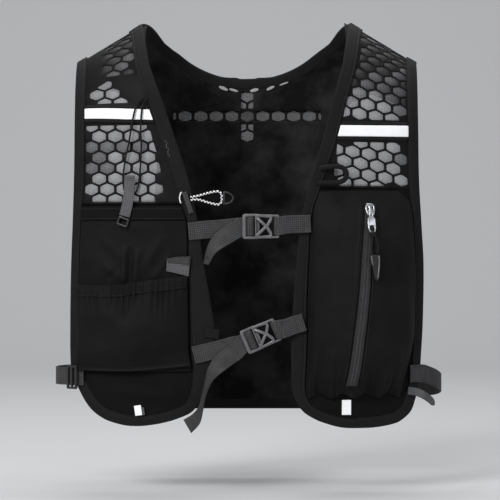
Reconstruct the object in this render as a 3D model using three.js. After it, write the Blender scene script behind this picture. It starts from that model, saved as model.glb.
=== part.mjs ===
// A running hydration vest, worn form, in millimetres.
// X is to the right as the front is looked at, the front faces -Y and +Z is up.
// The origin lies midway between the two shoulder tops, at their height.
// Cloth lies on one smooth body surface. A spot on it is [x, d], where d is the distance
// below the shoulder tops with the rounded shoulder rolled out flat.

import * as THREE from 'three';

// Sizes of the body surface.
const vestLength = 407;
const shoulderHalf = 174;
const neckHalf = 107;
const shoulderDrop = 40;
const archHeight = 90;
const chestDepth = 85;
const torsoHalf = 200;
const torsoRoundness = 2.6;
const waistTaper = 0.1;

// Walls and the clearances between stacked layers.
const panelWall = 1.2;
const netWall = 1;
const bindingWall = 1.2;
const tapeWall = 1;
const pocketWall = 1.2;
const webbingWall = 1.4;
const webbingWidth = 18;
const layerGap = 0.6;
const sideGap = 0.8;
const ridgeGap = 0.3;

// The net, the bindings and the tapes.
const hexPitch = 16.6;
const cellSquash = 0.74;
const cellSlantRight = 0.15;
const ribWidth = 2.6;
const smallestCell = 42;
const shortestRib = 0.6;
const cellBow = 0.4;
const solidShoulder = 11;
const armBindingWidth = 9.5;
const armBindingLow = 7.5;
const frontBindingWidth = 14;
const neckBindingWidth = 11;
const backSideWidth = 9;
const hemBindingWidth = 10;
const reflectiveWidth = 10.5;
const carrierWidth = 20;

// The pockets.
const seamDownLeft = 187;
const seamDownRight = 171;
const stashHemWidth = 13;
const bottleBulge = 13;
const bottleHemWidth = 12;
const bottleGathers = 6;
const gatherHeight = 1;
const zipPocketBulge = 27;
const zipBottomWaves = 4;
const zipFootInset = 6.5;
const zipBottomWaveHeight = 2.2;
const zipTapeWidthTop = 8;
const zipTapeWidthFoot = 11;
const zipTapeLength = 182;

// The chest straps and their hardware.
const buckleWall = 2.4;
const buckleHeight = 25;
const ladderLength = 16.6;
const hookLength = 24;
const barWidth = 3;
const slotWidth = 4;
const hookOverlap = 4;
const strapFloat = 1.8;
const upperBuckle = { x: -4.5, d: 208.5, rise: 0 };
const lowerBuckle = { x: -3, d: 325, rise: 0.4 };

// The cords.
const flaskCordRadius = 0.9;
const reflectiveCordRadius = 1.1;
const pullerCordRadius = 1;
const hoseLoopRadius = 2.6;

const cloth = { color: 0x1a1b1d, roughness: 0.9 };
const net = { color: 0x141416, roughness: 0.8 };
const binding = { color: 0x151618, roughness: 0.85 };
const reflective = { color: 0xeeeeee, roughness: 0.45 };
const webbing = { color: 0x37373a, roughness: 0.75 };
const plastic = { color: 0x1d1e20, roughness: 0.4 };
const metal = { color: 0xb9babc, roughness: 0.3, metalness: 1 };

// Edges of each panel: down is a share of vestLength, the others are shares of shoulderHalf.
const leftEdges = [
  { down: 0, inner: 0.63, outer: 1 },
  { down: 0.1, inner: 0.573, outer: 0.997 },
  { down: 0.196, inner: 0.496, outer: 0.992 },
  { down: 0.3, inner: 0.414, outer: 0.992 },
  { down: 0.4, inner: 0.34, outer: 0.996 },
  { down: 0.5, inner: 0.289, outer: 1.003 },
  { down: 0.6, inner: 0.254, outer: 1.012 },
  { down: 0.7, inner: 0.213, outer: 1.017 },
  { down: 0.77, inner: 0.19, outer: 1.018 },
  { down: 0.82, inner: 0.197, outer: 1.018 },
  { down: 0.87, inner: 0.216, outer: 1.01 },
  { down: 0.913, inner: 0.243, outer: 0.97 },
  { down: 0.948, inner: 0.283, outer: 0.925 },
  { down: 0.97, inner: 0.328, outer: 0.88 },
  { down: 0.987, inner: 0.42, outer: 0.82 },
  { down: 0.996, inner: 0.5, outer: 0.76 },
  { down: 1.001, inner: 0.57, outer: 0.71 },
  { down: 1.003, inner: 0.62, outer: 0.67 },
];
const rightEdges = [
  { down: 0, inner: 0.61, outer: 1 },
  { down: 0.1, inner: 0.558, outer: 0.992 },
  { down: 0.196, inner: 0.5, outer: 0.984 },
  { down: 0.3, inner: 0.437, outer: 0.985 },
  { down: 0.4, inner: 0.367, outer: 0.99 },
  { down: 0.5, inner: 0.314, outer: 1.003 },
  { down: 0.6, inner: 0.29, outer: 1.016 },
  { down: 0.7, inner: 0.27, outer: 1.015 },
  { down: 0.77, inner: 0.26, outer: 1.01 },
  { down: 0.82, inner: 0.257, outer: 1.003 },
  { down: 0.87, inner: 0.259, outer: 0.996 },
  { down: 0.913, inner: 0.265, outer: 0.984 },
  { down: 0.948, inner: 0.294, outer: 0.963 },
  { down: 0.97, inner: 0.334, outer: 0.942 },
  { down: 0.987, inner: 0.4, outer: 0.9 },
  { down: 0.996, inner: 0.455, outer: 0.865 },
  { down: 1.003, inner: 0.51, outer: 0.8 },
  { down: 1.007, inner: 0.56, outer: 0.73 },
  { down: 1.008, inner: 0.61, outer: 0.67 },
];
// The back panel: inner is half the neckline, and then half the mesh cross's upright.
// Where the armhole runs off the shoulder, outerDown is the outer end's own share down.
const backEdges = [
  { down: 0, inner: 0.62, outerDown: 0.095, outer: 1 },
  { down: 0.03, inner: 0.51, outerDown: 0.104, outer: 1 },
  { down: 0.055, inner: 0.43, outerDown: 0.114, outer: 0.998 },
  { down: 0.08, inner: 0.35, outerDown: 0.125, outer: 0.99 },
  { down: 0.1, inner: 0.26, outerDown: 0.135, outer: 0.965 },
  { down: 0.115, inner: 0.15, outerDown: 0.143, outer: 0.92 },
  { down: 0.12, inner: 0.04, outerDown: 0.149, outer: 0.86 },
  { down: 0.152, inner: 0.04, outerDown: 0.162, outer: 0.77 },
  { down: 0.172, inner: 0.04, outerDown: 0.178, outer: 0.66 },
  { down: 0.203, inner: 0.04, outer: 0.575 },
  { down: 0.231, inner: 0.04, outer: 0.555 },
  { down: 0.2875, inner: 0.04, outer: 0.55 },
  { down: 0.4, inner: 0.04, outer: 0.56 },
  { down: 0.55, inner: 0.04, outer: 0.6 },
  { down: 0.7, inner: 0.04, outer: 0.67 },
  { down: 0.85, inner: 0.04, outer: 0.72 },
  { down: 0.93, inner: 0.04, outer: 0.71 },
  { down: 0.965, inner: 0.04, outer: 0.675 },
  { down: 0.985, inner: 0.04, outer: 0.6 },
];
const backColumns = [0, 0.2, 0.4, 0.6, 0.81, 1];
const crossRows = { top: 7, barTop: 9, barFoot: 10, foot: 11 };
const crossBarHalf = 79;
const crossUprightHalf = 7;

// How far down the zip pocket reaches, in shares of vestLength.
const zipPocketTop = 0.425;
const zipPocketFoot = 0.93;
// How far the zip pocket stands out along its length: at is the share of the way down.
const zipPocketSwell = [
  { at: 0, out: 0.06 },
  { at: 0.08, out: 0.42 },
  { at: 0.2, out: 0.72 },
  { at: 0.45, out: 0.94 },
  { at: 0.7, out: 1 },
  { at: 0.88, out: 0.8 },
  { at: 0.96, out: 0.42 },
  { at: 1, out: 0.06 },
];
// The zip's centre line on the pocket: along is the share of its length, across of shoulderHalf.
const zipLine = [
  { along: 0, across: 0.686 },
  { along: 0.25, across: 0.66 },
  { along: 0.5, across: 0.64 },
  { along: 0.75, across: 0.613 },
  { along: 0.92, across: 0.585 },
  { along: 1, across: 0.56 },
];
// The inner border of each net window, in shares of shoulderHalf.
const windowBorders = {
  left: [
    { down: 0.063, border: 0.666 },
    { down: 0.118, border: 0.64 },
    { down: 0.173, border: 0.6 },
    { down: 0.213, border: 0.563 },
    { down: 0.277, border: 0.55 },
    { down: 0.346, border: 0.504 },
    { down: 0.417, border: 0.478 },
    { down: 0.47, border: 0.478 },
  ],
  right: [
    { down: 0.067, border: 0.658 },
    { down: 0.118, border: 0.624 },
    { down: 0.201, border: 0.568 },
    { down: 0.255, border: 0.541 },
    { down: 0.307, border: 0.513 },
    { down: 0.43, border: 0.484 },
  ],
};
// The width of each front binding down the vest, in shares of frontBindingWidth.
const bindingWidths = [
  { down: 0, left: 0.86, right: 0.9 },
  { down: 0.1, left: 0.93, right: 0.9 },
  { down: 0.2, left: 0.96, right: 0.88 },
  { down: 0.3, left: 0.93, right: 0.88 },
  { down: 0.4, left: 0.9, right: 0.8 },
  { down: 0.46, left: 0.8, right: 0.62 },
  { down: 0.5, left: 0.66, right: 0.66 },
  { down: 0.6, left: 1.03, right: 0.79 },
  { down: 0.7, left: 1.5, right: 0.93 },
  { down: 0.77, left: 1.75, right: 1.07 },
  { down: 0.82, left: 1.65, right: 1.1 },
  { down: 0.87, left: 1.2, right: 1 },
  { down: 0.92, left: 0.9, right: 0.86 },
  { down: 0.96, left: 0.71, right: 0.71 },
  { down: 1.01, left: 0.64, right: 0.64 },
];
const zipTopDown = 0.455;

const archRun = archHeight * Math.PI / 2;
const numbers = (count) => Array.from({ length: count }, (_, index) => index);
const lerp = THREE.MathUtils.lerp;
const smooth = THREE.MathUtils.smoothstep;

// Height of the shoulder line above a distance x from the middle.
function ridgeZ(x) {
  return -shoulderDrop * (Math.abs(x) - neckHalf) / (shoulderHalf - neckHalf);
}

// Half depth of the body at a distance x from the middle.
function bodyDepth(x) {
  const share = Math.min(0.999, Math.abs(x) / torsoHalf);
  return chestDepth * (1 - share ** torsoRoundness) ** (1 / torsoRoundness);
}

// Rolls a height z out flat, into the distance d below the shoulder tops.
function unroll(x, z) {
  const fall = Math.max(0, ridgeZ(x) - z);
  const onArch = archRun * Math.acos(Math.max(0, 1 - fall / archHeight)) / (Math.PI / 2);
  const way = fall < archHeight ? onArch : archRun + fall - archHeight;
  return way - archRun + archHeight - ridgeZ(x);
}

function skinFlat(x, d, side) {
  const way = Math.max(ridgeGap, d + archRun - archHeight + ridgeZ(x));
  const angle = Math.min(way, archRun) / archRun * Math.PI / 2;
  const straight = Math.max(0, way - archRun);
  const z = ridgeZ(x) - archHeight * (1 - Math.cos(angle)) - straight;
  const y = side * bodyDepth(x) * Math.sin(angle) * (1 - waistTaper * straight / vestLength);
  return new THREE.Vector3(x, y, z);
}

// A point on the body, lifted off it. The front is side -1 and the back is side 1.
function skin(x, d, side, lift) {
  const step = 0.4;
  const lowest = archHeight - archRun - ridgeZ(x) + ridgeGap + step;
  const safe = Math.max(d, lowest);
  const down = skinFlat(x, safe + step, side).sub(skinFlat(x, safe - step, side));
  const along = skinFlat(x + step, safe - ridgeZ(x + step) + ridgeZ(x), side);
  along.sub(skinFlat(x - step, safe - ridgeZ(x - step) + ridgeZ(x), side));
  const normal = down.cross(along).normalize().multiplyScalar(side === -1 ? 1 : -1);
  return skinFlat(x, d, side).addScaledVector(normal, lift);
}

const front = (x, d, lift) => skin(x, d, -1, lift);
const back = (x, d, lift) => skin(x, d, 1, lift);

// Reads a column of a table at a value of its key, on a smooth line through its rows.
function readTable(table, key, value, column) {
  let row = 0;
  while (row < table.length - 2 && table[row + 1][key] < value) row += 1;
  const low = table[row];
  const high = table[row + 1];
  const share = THREE.MathUtils.clamp((value - low[key]) / (high[key] - low[key]), 0, 1);
  const before = table[Math.max(0, row - 1)];
  const after = table[Math.min(table.length - 1, row + 2)];
  const slopeLow = (high[column] - before[column]) / (high[key] - before[key]);
  const slopeHigh = (after[column] - low[column]) / (after[key] - low[key]);
  const gap = high[key] - low[key];
  const square = share * share;
  const cube = square * share;
  return (2 * cube - 3 * square + 1) * low[column] + (cube - 2 * square + share) * gap * slopeLow
    + (3 * square - 2 * cube) * high[column] + (cube - square) * gap * slopeHigh;
}

// The x of a panel's edge at a share down the vest, signed for the left or the right.
function edgeX(edges, column, down, hand) {
  return hand * shoulderHalf * readTable(edges, 'down', down, column);
}

function edgeSpot(edges, column, down, hand) {
  const x = edgeX(edges, column, down, hand);
  return [x, unroll(x, -down * vestLength)];
}

// Points along an edge from one share down to another, with the flat spot of each.
function edgePath(edges, column, from, to, hand, pieces) {
  return numbers(pieces + 1).map((index) => edgeSpot(edges, column, lerp(from, to, index / pieces), hand));
}

// Evenly spaced points on the smooth line through an edge's own rows.
function edgeLine(edges, column, hand, pieces, to = 2) {
  const spots = edges.filter((row) => row.down <= to).map((row) => {
    const x = hand * shoulderHalf * row[column];
    const down = column === 'outer' ? row.outerDown ?? row.down : row.down;
    return new THREE.Vector2(x, unroll(x, -down * vestLength));
  });
  return new THREE.SplineCurve(spots).getSpacedPoints(pieces).map(({ x, y }) => [x, y]);
}

function geometryOf(points, faces) {
  const geometry = new THREE.BufferGeometry();
  const values = points.flatMap((p) => [p.x, p.y, p.z]);
  geometry.setAttribute('position', new THREE.Float32BufferAttribute(values, 3));
  let volume = 0;
  for (const [a, b, c] of faces) {
    volume += points[a].dot(points[b].clone().cross(points[c]));
  }
  geometry.setIndex(faces.flatMap(([a, b, c]) => (volume < 0 ? [a, c, b] : [a, b, c])));
  geometry.computeVertexNormals();
  return geometry;
}

// A cloth sheet of cells between two grids of points. keep says which cells are there.
function sheet(columns, rows, spot, place, low, high, keep = () => true) {
  const points = [];
  for (const lift of [low, high]) {
    for (const row of numbers(rows + 1)) {
      for (const column of numbers(columns + 1)) {
        const [x, d] = spot(column / columns, row / rows, column, row);
        const height = typeof lift === 'number' ? lift : lift(column / columns, row / rows, x, d);
        points.push(place(x, d, height));
      }
    }
  }
  const layer = (rows + 1) * (columns + 1);
  const at = (column, row, top) => top * layer + row * (columns + 1) + column;
  const inside = (column, row) => column >= 0 && row >= 0 && column < columns && row < rows;
  const there = (column, row) => inside(column, row) && keep(column, row);
  const faces = [];
  const quad = (a, b, c, d) => faces.push([a, b, c], [a, c, d]);
  for (const row of numbers(rows)) {
    for (const column of numbers(columns)) {
      if (!there(column, row)) continue;
      const corner = [[column, row], [column + 1, row], [column + 1, row + 1], [column, row + 1]];
      const [a, b, c, d] = corner.map(([i, j]) => at(i, j, 1));
      const [e, f, g, h] = corner.map(([i, j]) => at(i, j, 0));
      quad(a, b, c, d);
      quad(h, g, f, e);
      if (!there(column, row - 1)) quad(b, a, e, f);
      if (!there(column + 1, row)) quad(c, b, f, g);
      if (!there(column, row + 1)) quad(d, c, g, h);
      if (!there(column - 1, row)) quad(a, d, h, e);
    }
  }
  return geometryOf(points, faces);
}

// Swaps the shared edge of two neighbouring triangles wherever the other diagonal is better.
function evenOut(triangles, spots) {
  const turn = (a, b, c) => (b.x - a.x) * (c.y - a.y) - (b.y - a.y) * (c.x - a.x);
  const angleAt = (top, a, b) => {
    const first = spots[a].clone().sub(spots[top]);
    return first.angleTo(spots[b].clone().sub(spots[top]));
  };
  let swaps = 1;
  for (let round = 0; round < 30 && swaps > 0; round += 1) {
    const owner = new Map();
    const touched = new Set();
    swaps = 0;
    triangles.forEach((corners, index) => {
      corners.forEach((corner, k) => owner.set(`${corner} ${corners[(k + 1) % 3]}`, index));
    });
    for (const [edge, index] of owner) {
      const [a, b] = edge.split(' ').map(Number);
      const other = owner.get(`${b} ${a}`);
      if (other === undefined || touched.has(index) || touched.has(other)) continue;
      const c = triangles[index].find((corner) => corner !== a && corner !== b);
      const d = triangles[other].find((corner) => corner !== a && corner !== b);
      const sides = turn(spots[c], spots[d], spots[a]) * turn(spots[c], spots[d], spots[b]);
      if (sides > -0.01 || angleAt(c, a, b) + angleAt(d, a, b) < Math.PI + 0.001) continue;
      triangles[index] = [a, d, c];
      triangles[other] = [d, b, c];
      touched.add(index).add(other);
      swaps += 1;
    }
  }
  return triangles;
}

// A cloth sheet with an outline and holes, both lists of flat spots.
function cutSheet(outline, holes, place, low, high) {
  const flat = [outline, ...holes].map((ring) => ring.map(([x, d]) => new THREE.Vector2(x, d)));
  const clockwise = THREE.ShapeUtils.isClockWise;
  const outer = clockwise(flat[0]) ? flat[0].reverse() : flat[0];
  const inner = flat.slice(1).map((ring) => (clockwise(ring) ? ring : ring.reverse()));
  const spots = [outer, ...inner].flat();
  const triangles = evenOut(THREE.ShapeUtils.triangulateShape(outer, inner), spots);
  const points = [low, high].flatMap((lift) => spots.map((spot) => place(spot.x, spot.y, lift)));
  const faces = [];
  for (const [a, b, c] of triangles) {
    faces.push([a + spots.length, b + spots.length, c + spots.length], [c, b, a]);
  }
  let start = 0;
  for (const ring of [outer, ...inner]) {
    for (const index of numbers(ring.length)) {
      const a = start + index;
      const b = start + (index + 1) % ring.length;
      faces.push([a, b, b + spots.length], [a, b + spots.length, a + spots.length]);
    }
    start += ring.length;
  }
  return geometryOf(points, faces);
}

// A strip of cloth beside a path of spots. Its width may change along it, and turn is its side.
function band(path, width, turn, place, low, high, columns = 1) {
  const across = path.map((spot, index) => {
    const before = path[Math.max(0, index - 1)];
    const after = path[Math.min(path.length - 1, index + 1)];
    const along = new THREE.Vector2(after[0] - before[0], after[1] - before[1]).normalize();
    return new THREE.Vector2(-along.y * turn, along.x * turn);
  });
  const spot = (u, v, column, row) => {
    const reach = u * (typeof width === 'number' ? width : width(v, path[row]));
    return [path[row][0] + across[row].x * reach, path[row][1] + across[row].y * reach];
  };
  return sheet(columns, path.length - 1, spot, place, low, high);
}

// A flat strap through centre points. Each has the direction of its width.
function ribbon(stations, width, wall) {
  const points = [];
  stations.forEach(({ at, across }, index) => {
    const before = stations[Math.max(0, index - 1)].at;
    const after = stations[Math.min(stations.length - 1, index + 1)].at;
    const side = across.clone().normalize();
    const up = after.clone().sub(before).cross(side).normalize();
    for (const [a, b] of [[-1, -1], [1, -1], [1, 1], [-1, 1]]) {
      points.push(at.clone().addScaledVector(side, a * width / 2).addScaledVector(up, b * wall / 2));
    }
  });
  const faces = [[0, 1, 2], [0, 2, 3]];
  for (const index of numbers(stations.length - 1)) {
    for (const corner of numbers(4)) {
      const a = index * 4 + corner;
      const b = index * 4 + (corner + 1) % 4;
      faces.push([a, a + 4, b + 4], [a, b + 4, b]);
    }
  }
  const last = (stations.length - 1) * 4;
  faces.push([last + 2, last + 1, last], [last + 3, last + 2, last]);
  return geometryOf(points, faces);
}

function tube(points, radius, steps, sides = 6) {
  const section = new THREE.Shape(numbers(sides).map((index) => {
    const angle = index / sides * Math.PI * 2;
    return new THREE.Vector2(Math.cos(angle) * radius, Math.sin(angle) * radius);
  }));
  const extrudePath = new THREE.CatmullRomCurve3(points);
  return new THREE.ExtrudeGeometry(section, { steps, bevelEnabled: false, extrudePath });
}

const group = new THREE.Group();

function add(name, geometry, finish) {
  const mesh = new THREE.Mesh(geometry, new THREE.MeshStandardMaterial(finish));
  mesh.name = name;
  group.add(mesh);
  return mesh;
}

// Keeps the part of a ring of spots where inside is not negative.
function clipRing(ring, inside) {
  const kept = [];
  ring.forEach((spot, index) => {
    const last = ring[(index + ring.length - 1) % ring.length];
    const here = inside(spot);
    const there = inside(last);
    if (here * there < 0) {
      const share = there / (there - here);
      kept.push([lerp(last[0], spot[0], share), lerp(last[1], spot[1], share)]);
    }
    if (here >= 0) kept.push(spot);
  });
  return kept;
}

// Hexagonal cells of the net between two distances, and between two edges at each distance.
function hexCells(from, to, limits, first, slant = 0, shoulderLine = () => -vestLength) {
  const cells = [];
  const rowStep = hexPitch * Math.sqrt(3) / 2 * cellSquash;
  const [startX, firstDown] = first;
  const radius = (hexPitch - ribWidth) / Math.sqrt(3);
  const borders = [
    ([x, d]) => d - from - cellBow * (x / shoulderHalf) ** 2,
    ([x, d]) => to - d - cellBow * (x / shoulderHalf) ** 2,
    ([x, d]) => x - limits(d)[0], ([x, d]) => limits(d)[1] - x, ([x, d]) => d - shoulderLine(x),
  ];
  const spare = Math.ceil(shoulderHalf * slant / rowStep);
  const rows = numbers(Math.ceil((to - firstDown) / rowStep) + spare + 1).map((index) => index - spare);
  for (const row of rows) {
    for (const column of numbers(Math.ceil(2 * shoulderHalf / hexPitch) + 1)) {
      const middleX = startX + (column + Math.abs(row % 2) / 2) * hexPitch;
      const hexagon = numbers(6).map((index) => {
        const angle = index * Math.PI / 3 + Math.PI / 6;
        const x = middleX + Math.cos(angle) * radius;
        return [x, firstDown + row * rowStep + Math.sin(angle) * radius * cellSquash + slant * x];
      });
      const cut = borders.reduce(clipRing, hexagon);
      const clean = cut.filter((spot, index) => {
        const last = cut[(index + cut.length - 1) % cut.length];
        return Math.hypot(spot[0] - last[0], spot[1] - last[1]) > shortestRib;
      });
      const flat = clean.map(([x, d]) => new THREE.Vector2(x, d));
      if (flat.length > 2 && Math.abs(THREE.ShapeUtils.area(flat)) > smallestCell) cells.push(clean);
    }
  }
  return cells;
}

const layerOne = panelWall + layerGap;
const layerTwo = layerOne + bindingWall + layerGap;

function frontSide(name, hand, edges, seamDown, carrierDown, carrierSlope, netFirst, peak) {
  const seam = seamDown / vestLength;
  const lastDown = edges[edges.length - 1].down;
  const bindingAt = (down) => frontBindingWidth * readTable(bindingWidths, 'down', down, name);
  const armWidth = (down) => {
    const low = lerp(armBindingWidth, armBindingLow, smooth(down, 0.4, 0.5));
    return lerp(low, hemBindingWidth, smooth(down, 0.86, 0.97));
  };
  const slant = (column, down) => {
    const run = edgeX(edges, column, down + 0.01, 1) - edgeX(edges, column, down - 0.01, 1);
    return Math.hypot(1, run / (0.02 * vestLength));
  };
  const innerLimit = (d) => {
    const down = Math.max(0.02, d / vestLength);
    return edgeX(edges, 'inner', down, 1) + bindingAt(down) * slant('inner', down);
  };
  const outerLimit = (d) => {
    const down = Math.max(0.02, d / vestLength);
    return edgeX(edges, 'outer', down, 1) - armWidth(down) * slant('outer', down);
  };
  const windowLimit = (d) => shoulderHalf * readTable(windowBorders[name], 'down', d / vestLength, 'border');

  // The upper panel is one net sheet whose cells stop at the facings and under the tape.
  const shoulderLine = (x) => archHeight - archRun - ridgeZ(x);
  const ridge = numbers(8).map((index) => {
    const x = hand * shoulderHalf * lerp(edges[0].inner, 1, index / 7);
    return [x, shoulderLine(x)];
  });
  const seamLine = numbers(9).map((index) => {
    const ends = ['outer', 'inner'].map((column) => edgeX(edges, column, seam, hand));
    const bow = cellBow * Math.sin(index / 8 * Math.PI);
    return [lerp(ends[0], ends[1], index / 8), seamDown - sideGap / 2 - bow];
  });
  const outerSide = edgePath(edges, 'outer', 0.1, seam, hand, 15).slice(0, -1);
  const innerSide = edgePath(edges, 'inner', 0, seam, hand, 17).slice(1, -1);
  const outline = [...ridge, ...outerSide, ...seamLine, ...innerSide.reverse()];
  const limits = (d) => [hand * (windowLimit(d) + 1), hand * (outerLimit(d) - 1)].sort((a, b) => a - b);
  const highest = (x) => shoulderLine(x) + solidShoulder;
  const half = carrierWidth / 2 + 1;
  const stop = carrierDown - half;
  const cells = hexCells(carrierDown + half, seamDown - 3, limits, netFirst.lower, netFirst.slant);
  if (!peak) cells.push(...hexCells(-22, stop, limits, netFirst.upper, netFirst.slant, highest));
  else {
    // The yoke is plain cloth above two slanting seams that meet at a peak, but for one patch of cells.
    const tip = peak.down * vestLength;
    const slanted = (d) => {
      const outwards = peak.across * shoulderHalf + (d - tip) / peak.toArm;
      const inwards = peak.across * shoulderHalf - (d - tip) / peak.toNeck;
      return [Math.max(-outwards, limits(d)[0]), Math.min(-inwards, limits(d)[1])];
    };
    const patch = peak.patch.map((share) => -share * shoulderHalf);
    cells.push(...hexCells(-22, tip - 2, () => patch, netFirst.upper, 0, highest));
    cells.push(...hexCells(tip, stop, slanted, netFirst.upper));
  }
  add(`mesh_window_${name}`, cutSheet(outline, cells, front, 0, netWall), net);

  // The lower panel is closed cloth down to the rounded hem, with a row at each table row.
  const downs = [seam, ...edges.map((row) => row.down).filter((down) => down > seam + 0.1)];
  const panelSpot = (u, v, column, row) => {
    const spots = ['outer', 'inner'].map((key) => edgeSpot(edges, key, downs[row], hand));
    return [lerp(spots[0][0], spots[1][0], u ** 1.15), Math.max(spots[0][1], seamDown + sideGap / 2)];
  };
  add(`front_panel_${name}`, sheet(8, downs.length - 1, panelSpot, front, 0, panelWall), cloth);

  // Bindings along the inner and the outer edge meet at the foot of the hem.
  const innerPath = edgeLine(edges, 'inner', hand, 34);
  const outerPath = edgeLine(edges, 'outer', hand, 28);
  const top = layerOne + bindingWall;
  const downOf = (spot) => Math.max(0, spot[1]) / vestLength;
  const innerWide = (v, spot) => bindingAt(downOf(spot));
  const outerWide = (v, spot) => armWidth(downOf(spot));
  add(`front_binding_${name}`, band(innerPath, innerWide, -hand, front, layerOne, top), binding);
  add(`arm_binding_${name}`, band(outerPath, outerWide, hand, front, layerOne, top), binding);

  // The reflective strip on its dark tape.
  const tapeSpot = (height) => (u, v) => {
    const middle = carrierDown + carrierSlope * (u - 0.5) + (v - 0.5) * height;
    const ends = [hand * (outerLimit(middle) - sideGap), hand * (innerLimit(middle) + sideGap)];
    return [lerp(ends[0], ends[1], u), middle];
  };
  const tapeLow = netWall + layerGap;
  const tapeTop = tapeLow + tapeWall;
  const carrier = sheet(8, 1, tapeSpot(carrierWidth - 2), front, tapeLow, tapeTop);
  add(`reflective_carrier_${name}`, carrier, binding);
  const stripLow = tapeTop + layerGap;
  const stripTop = stripLow + tapeWall;
  const strip = sheet(8, 1, tapeSpot(reflectiveWidth), front, stripLow, stripTop);
  add(`reflective_strip_${name}`, strip, reflective);
  return { innerLimit, outerLimit };
}

const leftPeak = { across: 0.776, down: 0.1365, toArm: 0.56, toNeck: 1.8, patch: [0.845, 0.655] };
const leftFirst = { lower: [-173.8, 107.1], upper: [-176.6, -21.9], slant: 0 };
const rightFirst = { lower: [-176.5, 96], upper: [-169.5, -28], slant: cellSlantRight };
const left = frontSide('left', -1, leftEdges, seamDownLeft, 95.5, 2, leftFirst, leftPeak);
const right = frontSide('right', 1, rightEdges, seamDownRight, 112.5, 0, rightFirst);

// The back panel has a cross of net let into it, and a deep round neckline.
function backSpot(u, v, column, row) {
  const across = backColumns.length;
  const outward = column >= across ? column - across : across - 1 - column;
  const hand = column >= across ? 1 : -1;
  const { down, inner, outer, outerDown = down } = backEdges[row];
  const ends = [[inner, down], [outer, outerDown]].map(([share, fall]) => {
    const x = hand * shoulderHalf * share;
    return [x, unroll(x, -fall * vestLength)];
  });
  const share = backColumns[outward];
  return [lerp(ends[0][0], ends[1][0], share), lerp(ends[0][1], ends[1][1], share)];
}

const neckRow = backEdges.findIndex((row) => row.inner === backEdges[backEdges.length - 1].inner);
const middleColumn = backColumns.length - 1;
function backKeep(column, row) {
  const outward = Math.abs(column - middleColumn);
  if (outward === 0) return row >= neckRow && (row < crossRows.top || row >= crossRows.foot);
  return !(row === crossRows.barTop && outward < backColumns.length - 1);
}
const backGrid = [2 * backColumns.length - 1, backEdges.length - 1];
add('back_panel', sheet(...backGrid, backSpot, back, 0, panelWall, backKeep), cloth);

function backCross() {
  const lap = 4;
  const depthOf = (row) => backEdges[row].down * vestLength;
  const [top, barTop, barFoot, foot] = Object.values(crossRows).map(depthOf);
  const half = [crossUprightHalf + lap, crossBarHalf + lap];
  const barLine = (d, from, to) => numbers(7).map((index) => [lerp(from, to, index / 6), d]);
  const outline = [
    [-half[0], top - 1], [half[0], top - 1],
    ...barLine(barTop - lap, half[0], half[1]), ...barLine(barFoot + lap, half[1], half[0]),
    [half[0], foot + lap], [-half[0], foot + lap],
    ...barLine(barFoot + lap, -half[0], -half[1]), ...barLine(barTop - lap, -half[1], -half[0]),
  ];
  const middle = (barTop + barFoot) / 2;
  const first = [-6 * hexPitch, middle - 4 * hexPitch * Math.sqrt(3) / 2 * cellSquash];
  const inBar = hexCells(barTop, barFoot, () => [-crossBarHalf, crossBarHalf], first);
  const upright = () => [-crossUprightHalf, crossUprightHalf];
  const above = hexCells(top + 1, barTop - ribWidth, upright, first);
  const below = hexCells(barFoot + ribWidth, foot, upright, first);
  const cells = [...inBar, ...above, ...below];
  return cutSheet(outline, cells, back, layerOne, layerOne + netWall);
}
add('back_mesh_cross', backCross(), net);

// Bindings of the back: neckline, both sides and the foot.
const bindingTop = layerOne + bindingWall;
const lowestNeck = backEdges[neckRow].down;
const halfNeck = (hand) => edgeLine(backEdges, 'inner', hand, 12, lowestNeck);
const neckLine = [...halfNeck(-1), ...halfNeck(1).reverse()];
add('back_neck_binding', band(neckLine, neckBindingWidth, 1, back, layerOne, bindingTop), binding);
for (const [name, hand] of [['left', -1], ['right', 1]]) {
  const path = edgeLine(backEdges, 'outer', hand, 30);
  add(`back_side_binding_${name}`, band(path, backSideWidth, hand, back, layerOne, bindingTop), binding);
}
function backHem() {
  const last = backEdges[backEdges.length - 1];
  const half = shoulderHalf * last.outer - backSideWidth - sideGap;
  const spot = (u, v) => [lerp(-half, half, u), last.down * vestLength - v * hemBindingWidth];
  return sheet(14, 1, spot, back, layerOne, bindingTop);
}
add('back_hem_binding', backHem(), binding);

// Left side: the flat stash pocket with its hem, and the gathered bottle pocket over it.
const stashDepth = 354;
const leftPocketEnds = (d) => [-(left.outerLimit(d) - sideGap), -(left.innerLimit(d) + sideGap)];
const stashFold = (x) => 2.4 * Math.exp(-(((x + 115) / 5) ** 2));
function stashLift(x, d) {
  const ends = leftPocketEnds(d);
  const across = THREE.MathUtils.clamp((x - ends[0]) / (ends[1] - ends[0]), 0, 1);
  return 1.6 * Math.sin(Math.PI * across) + stashFold(x) * smooth(d, 225, 245) * Math.sin(Math.PI * across);
}
function leftPocketSheet(from, to, columns, rows, low, wall) {
  const spot = (u, v) => {
    const d = lerp(from, to, v);
    const ends = leftPocketEnds(d);
    return [lerp(ends[0], ends[1], u), d];
  };
  const lift = (extra) => (u, v, x, d) => low + stashLift(x, d) + extra;
  return sheet(columns, rows, spot, front, lift(0), lift(wall));
}
const stashTop = seamDownLeft + 2;
add('stash_pocket_left', leftPocketSheet(stashTop, stashDepth, 14, 6, layerOne, pocketWall), cloth);
const hemLow = layerOne + pocketWall + layerGap;
const stashHem = leftPocketSheet(stashTop, stashTop + stashHemWidth, 14, 1, hemLow, tapeWall);
add('stash_pocket_hem', stashHem, binding);

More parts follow.
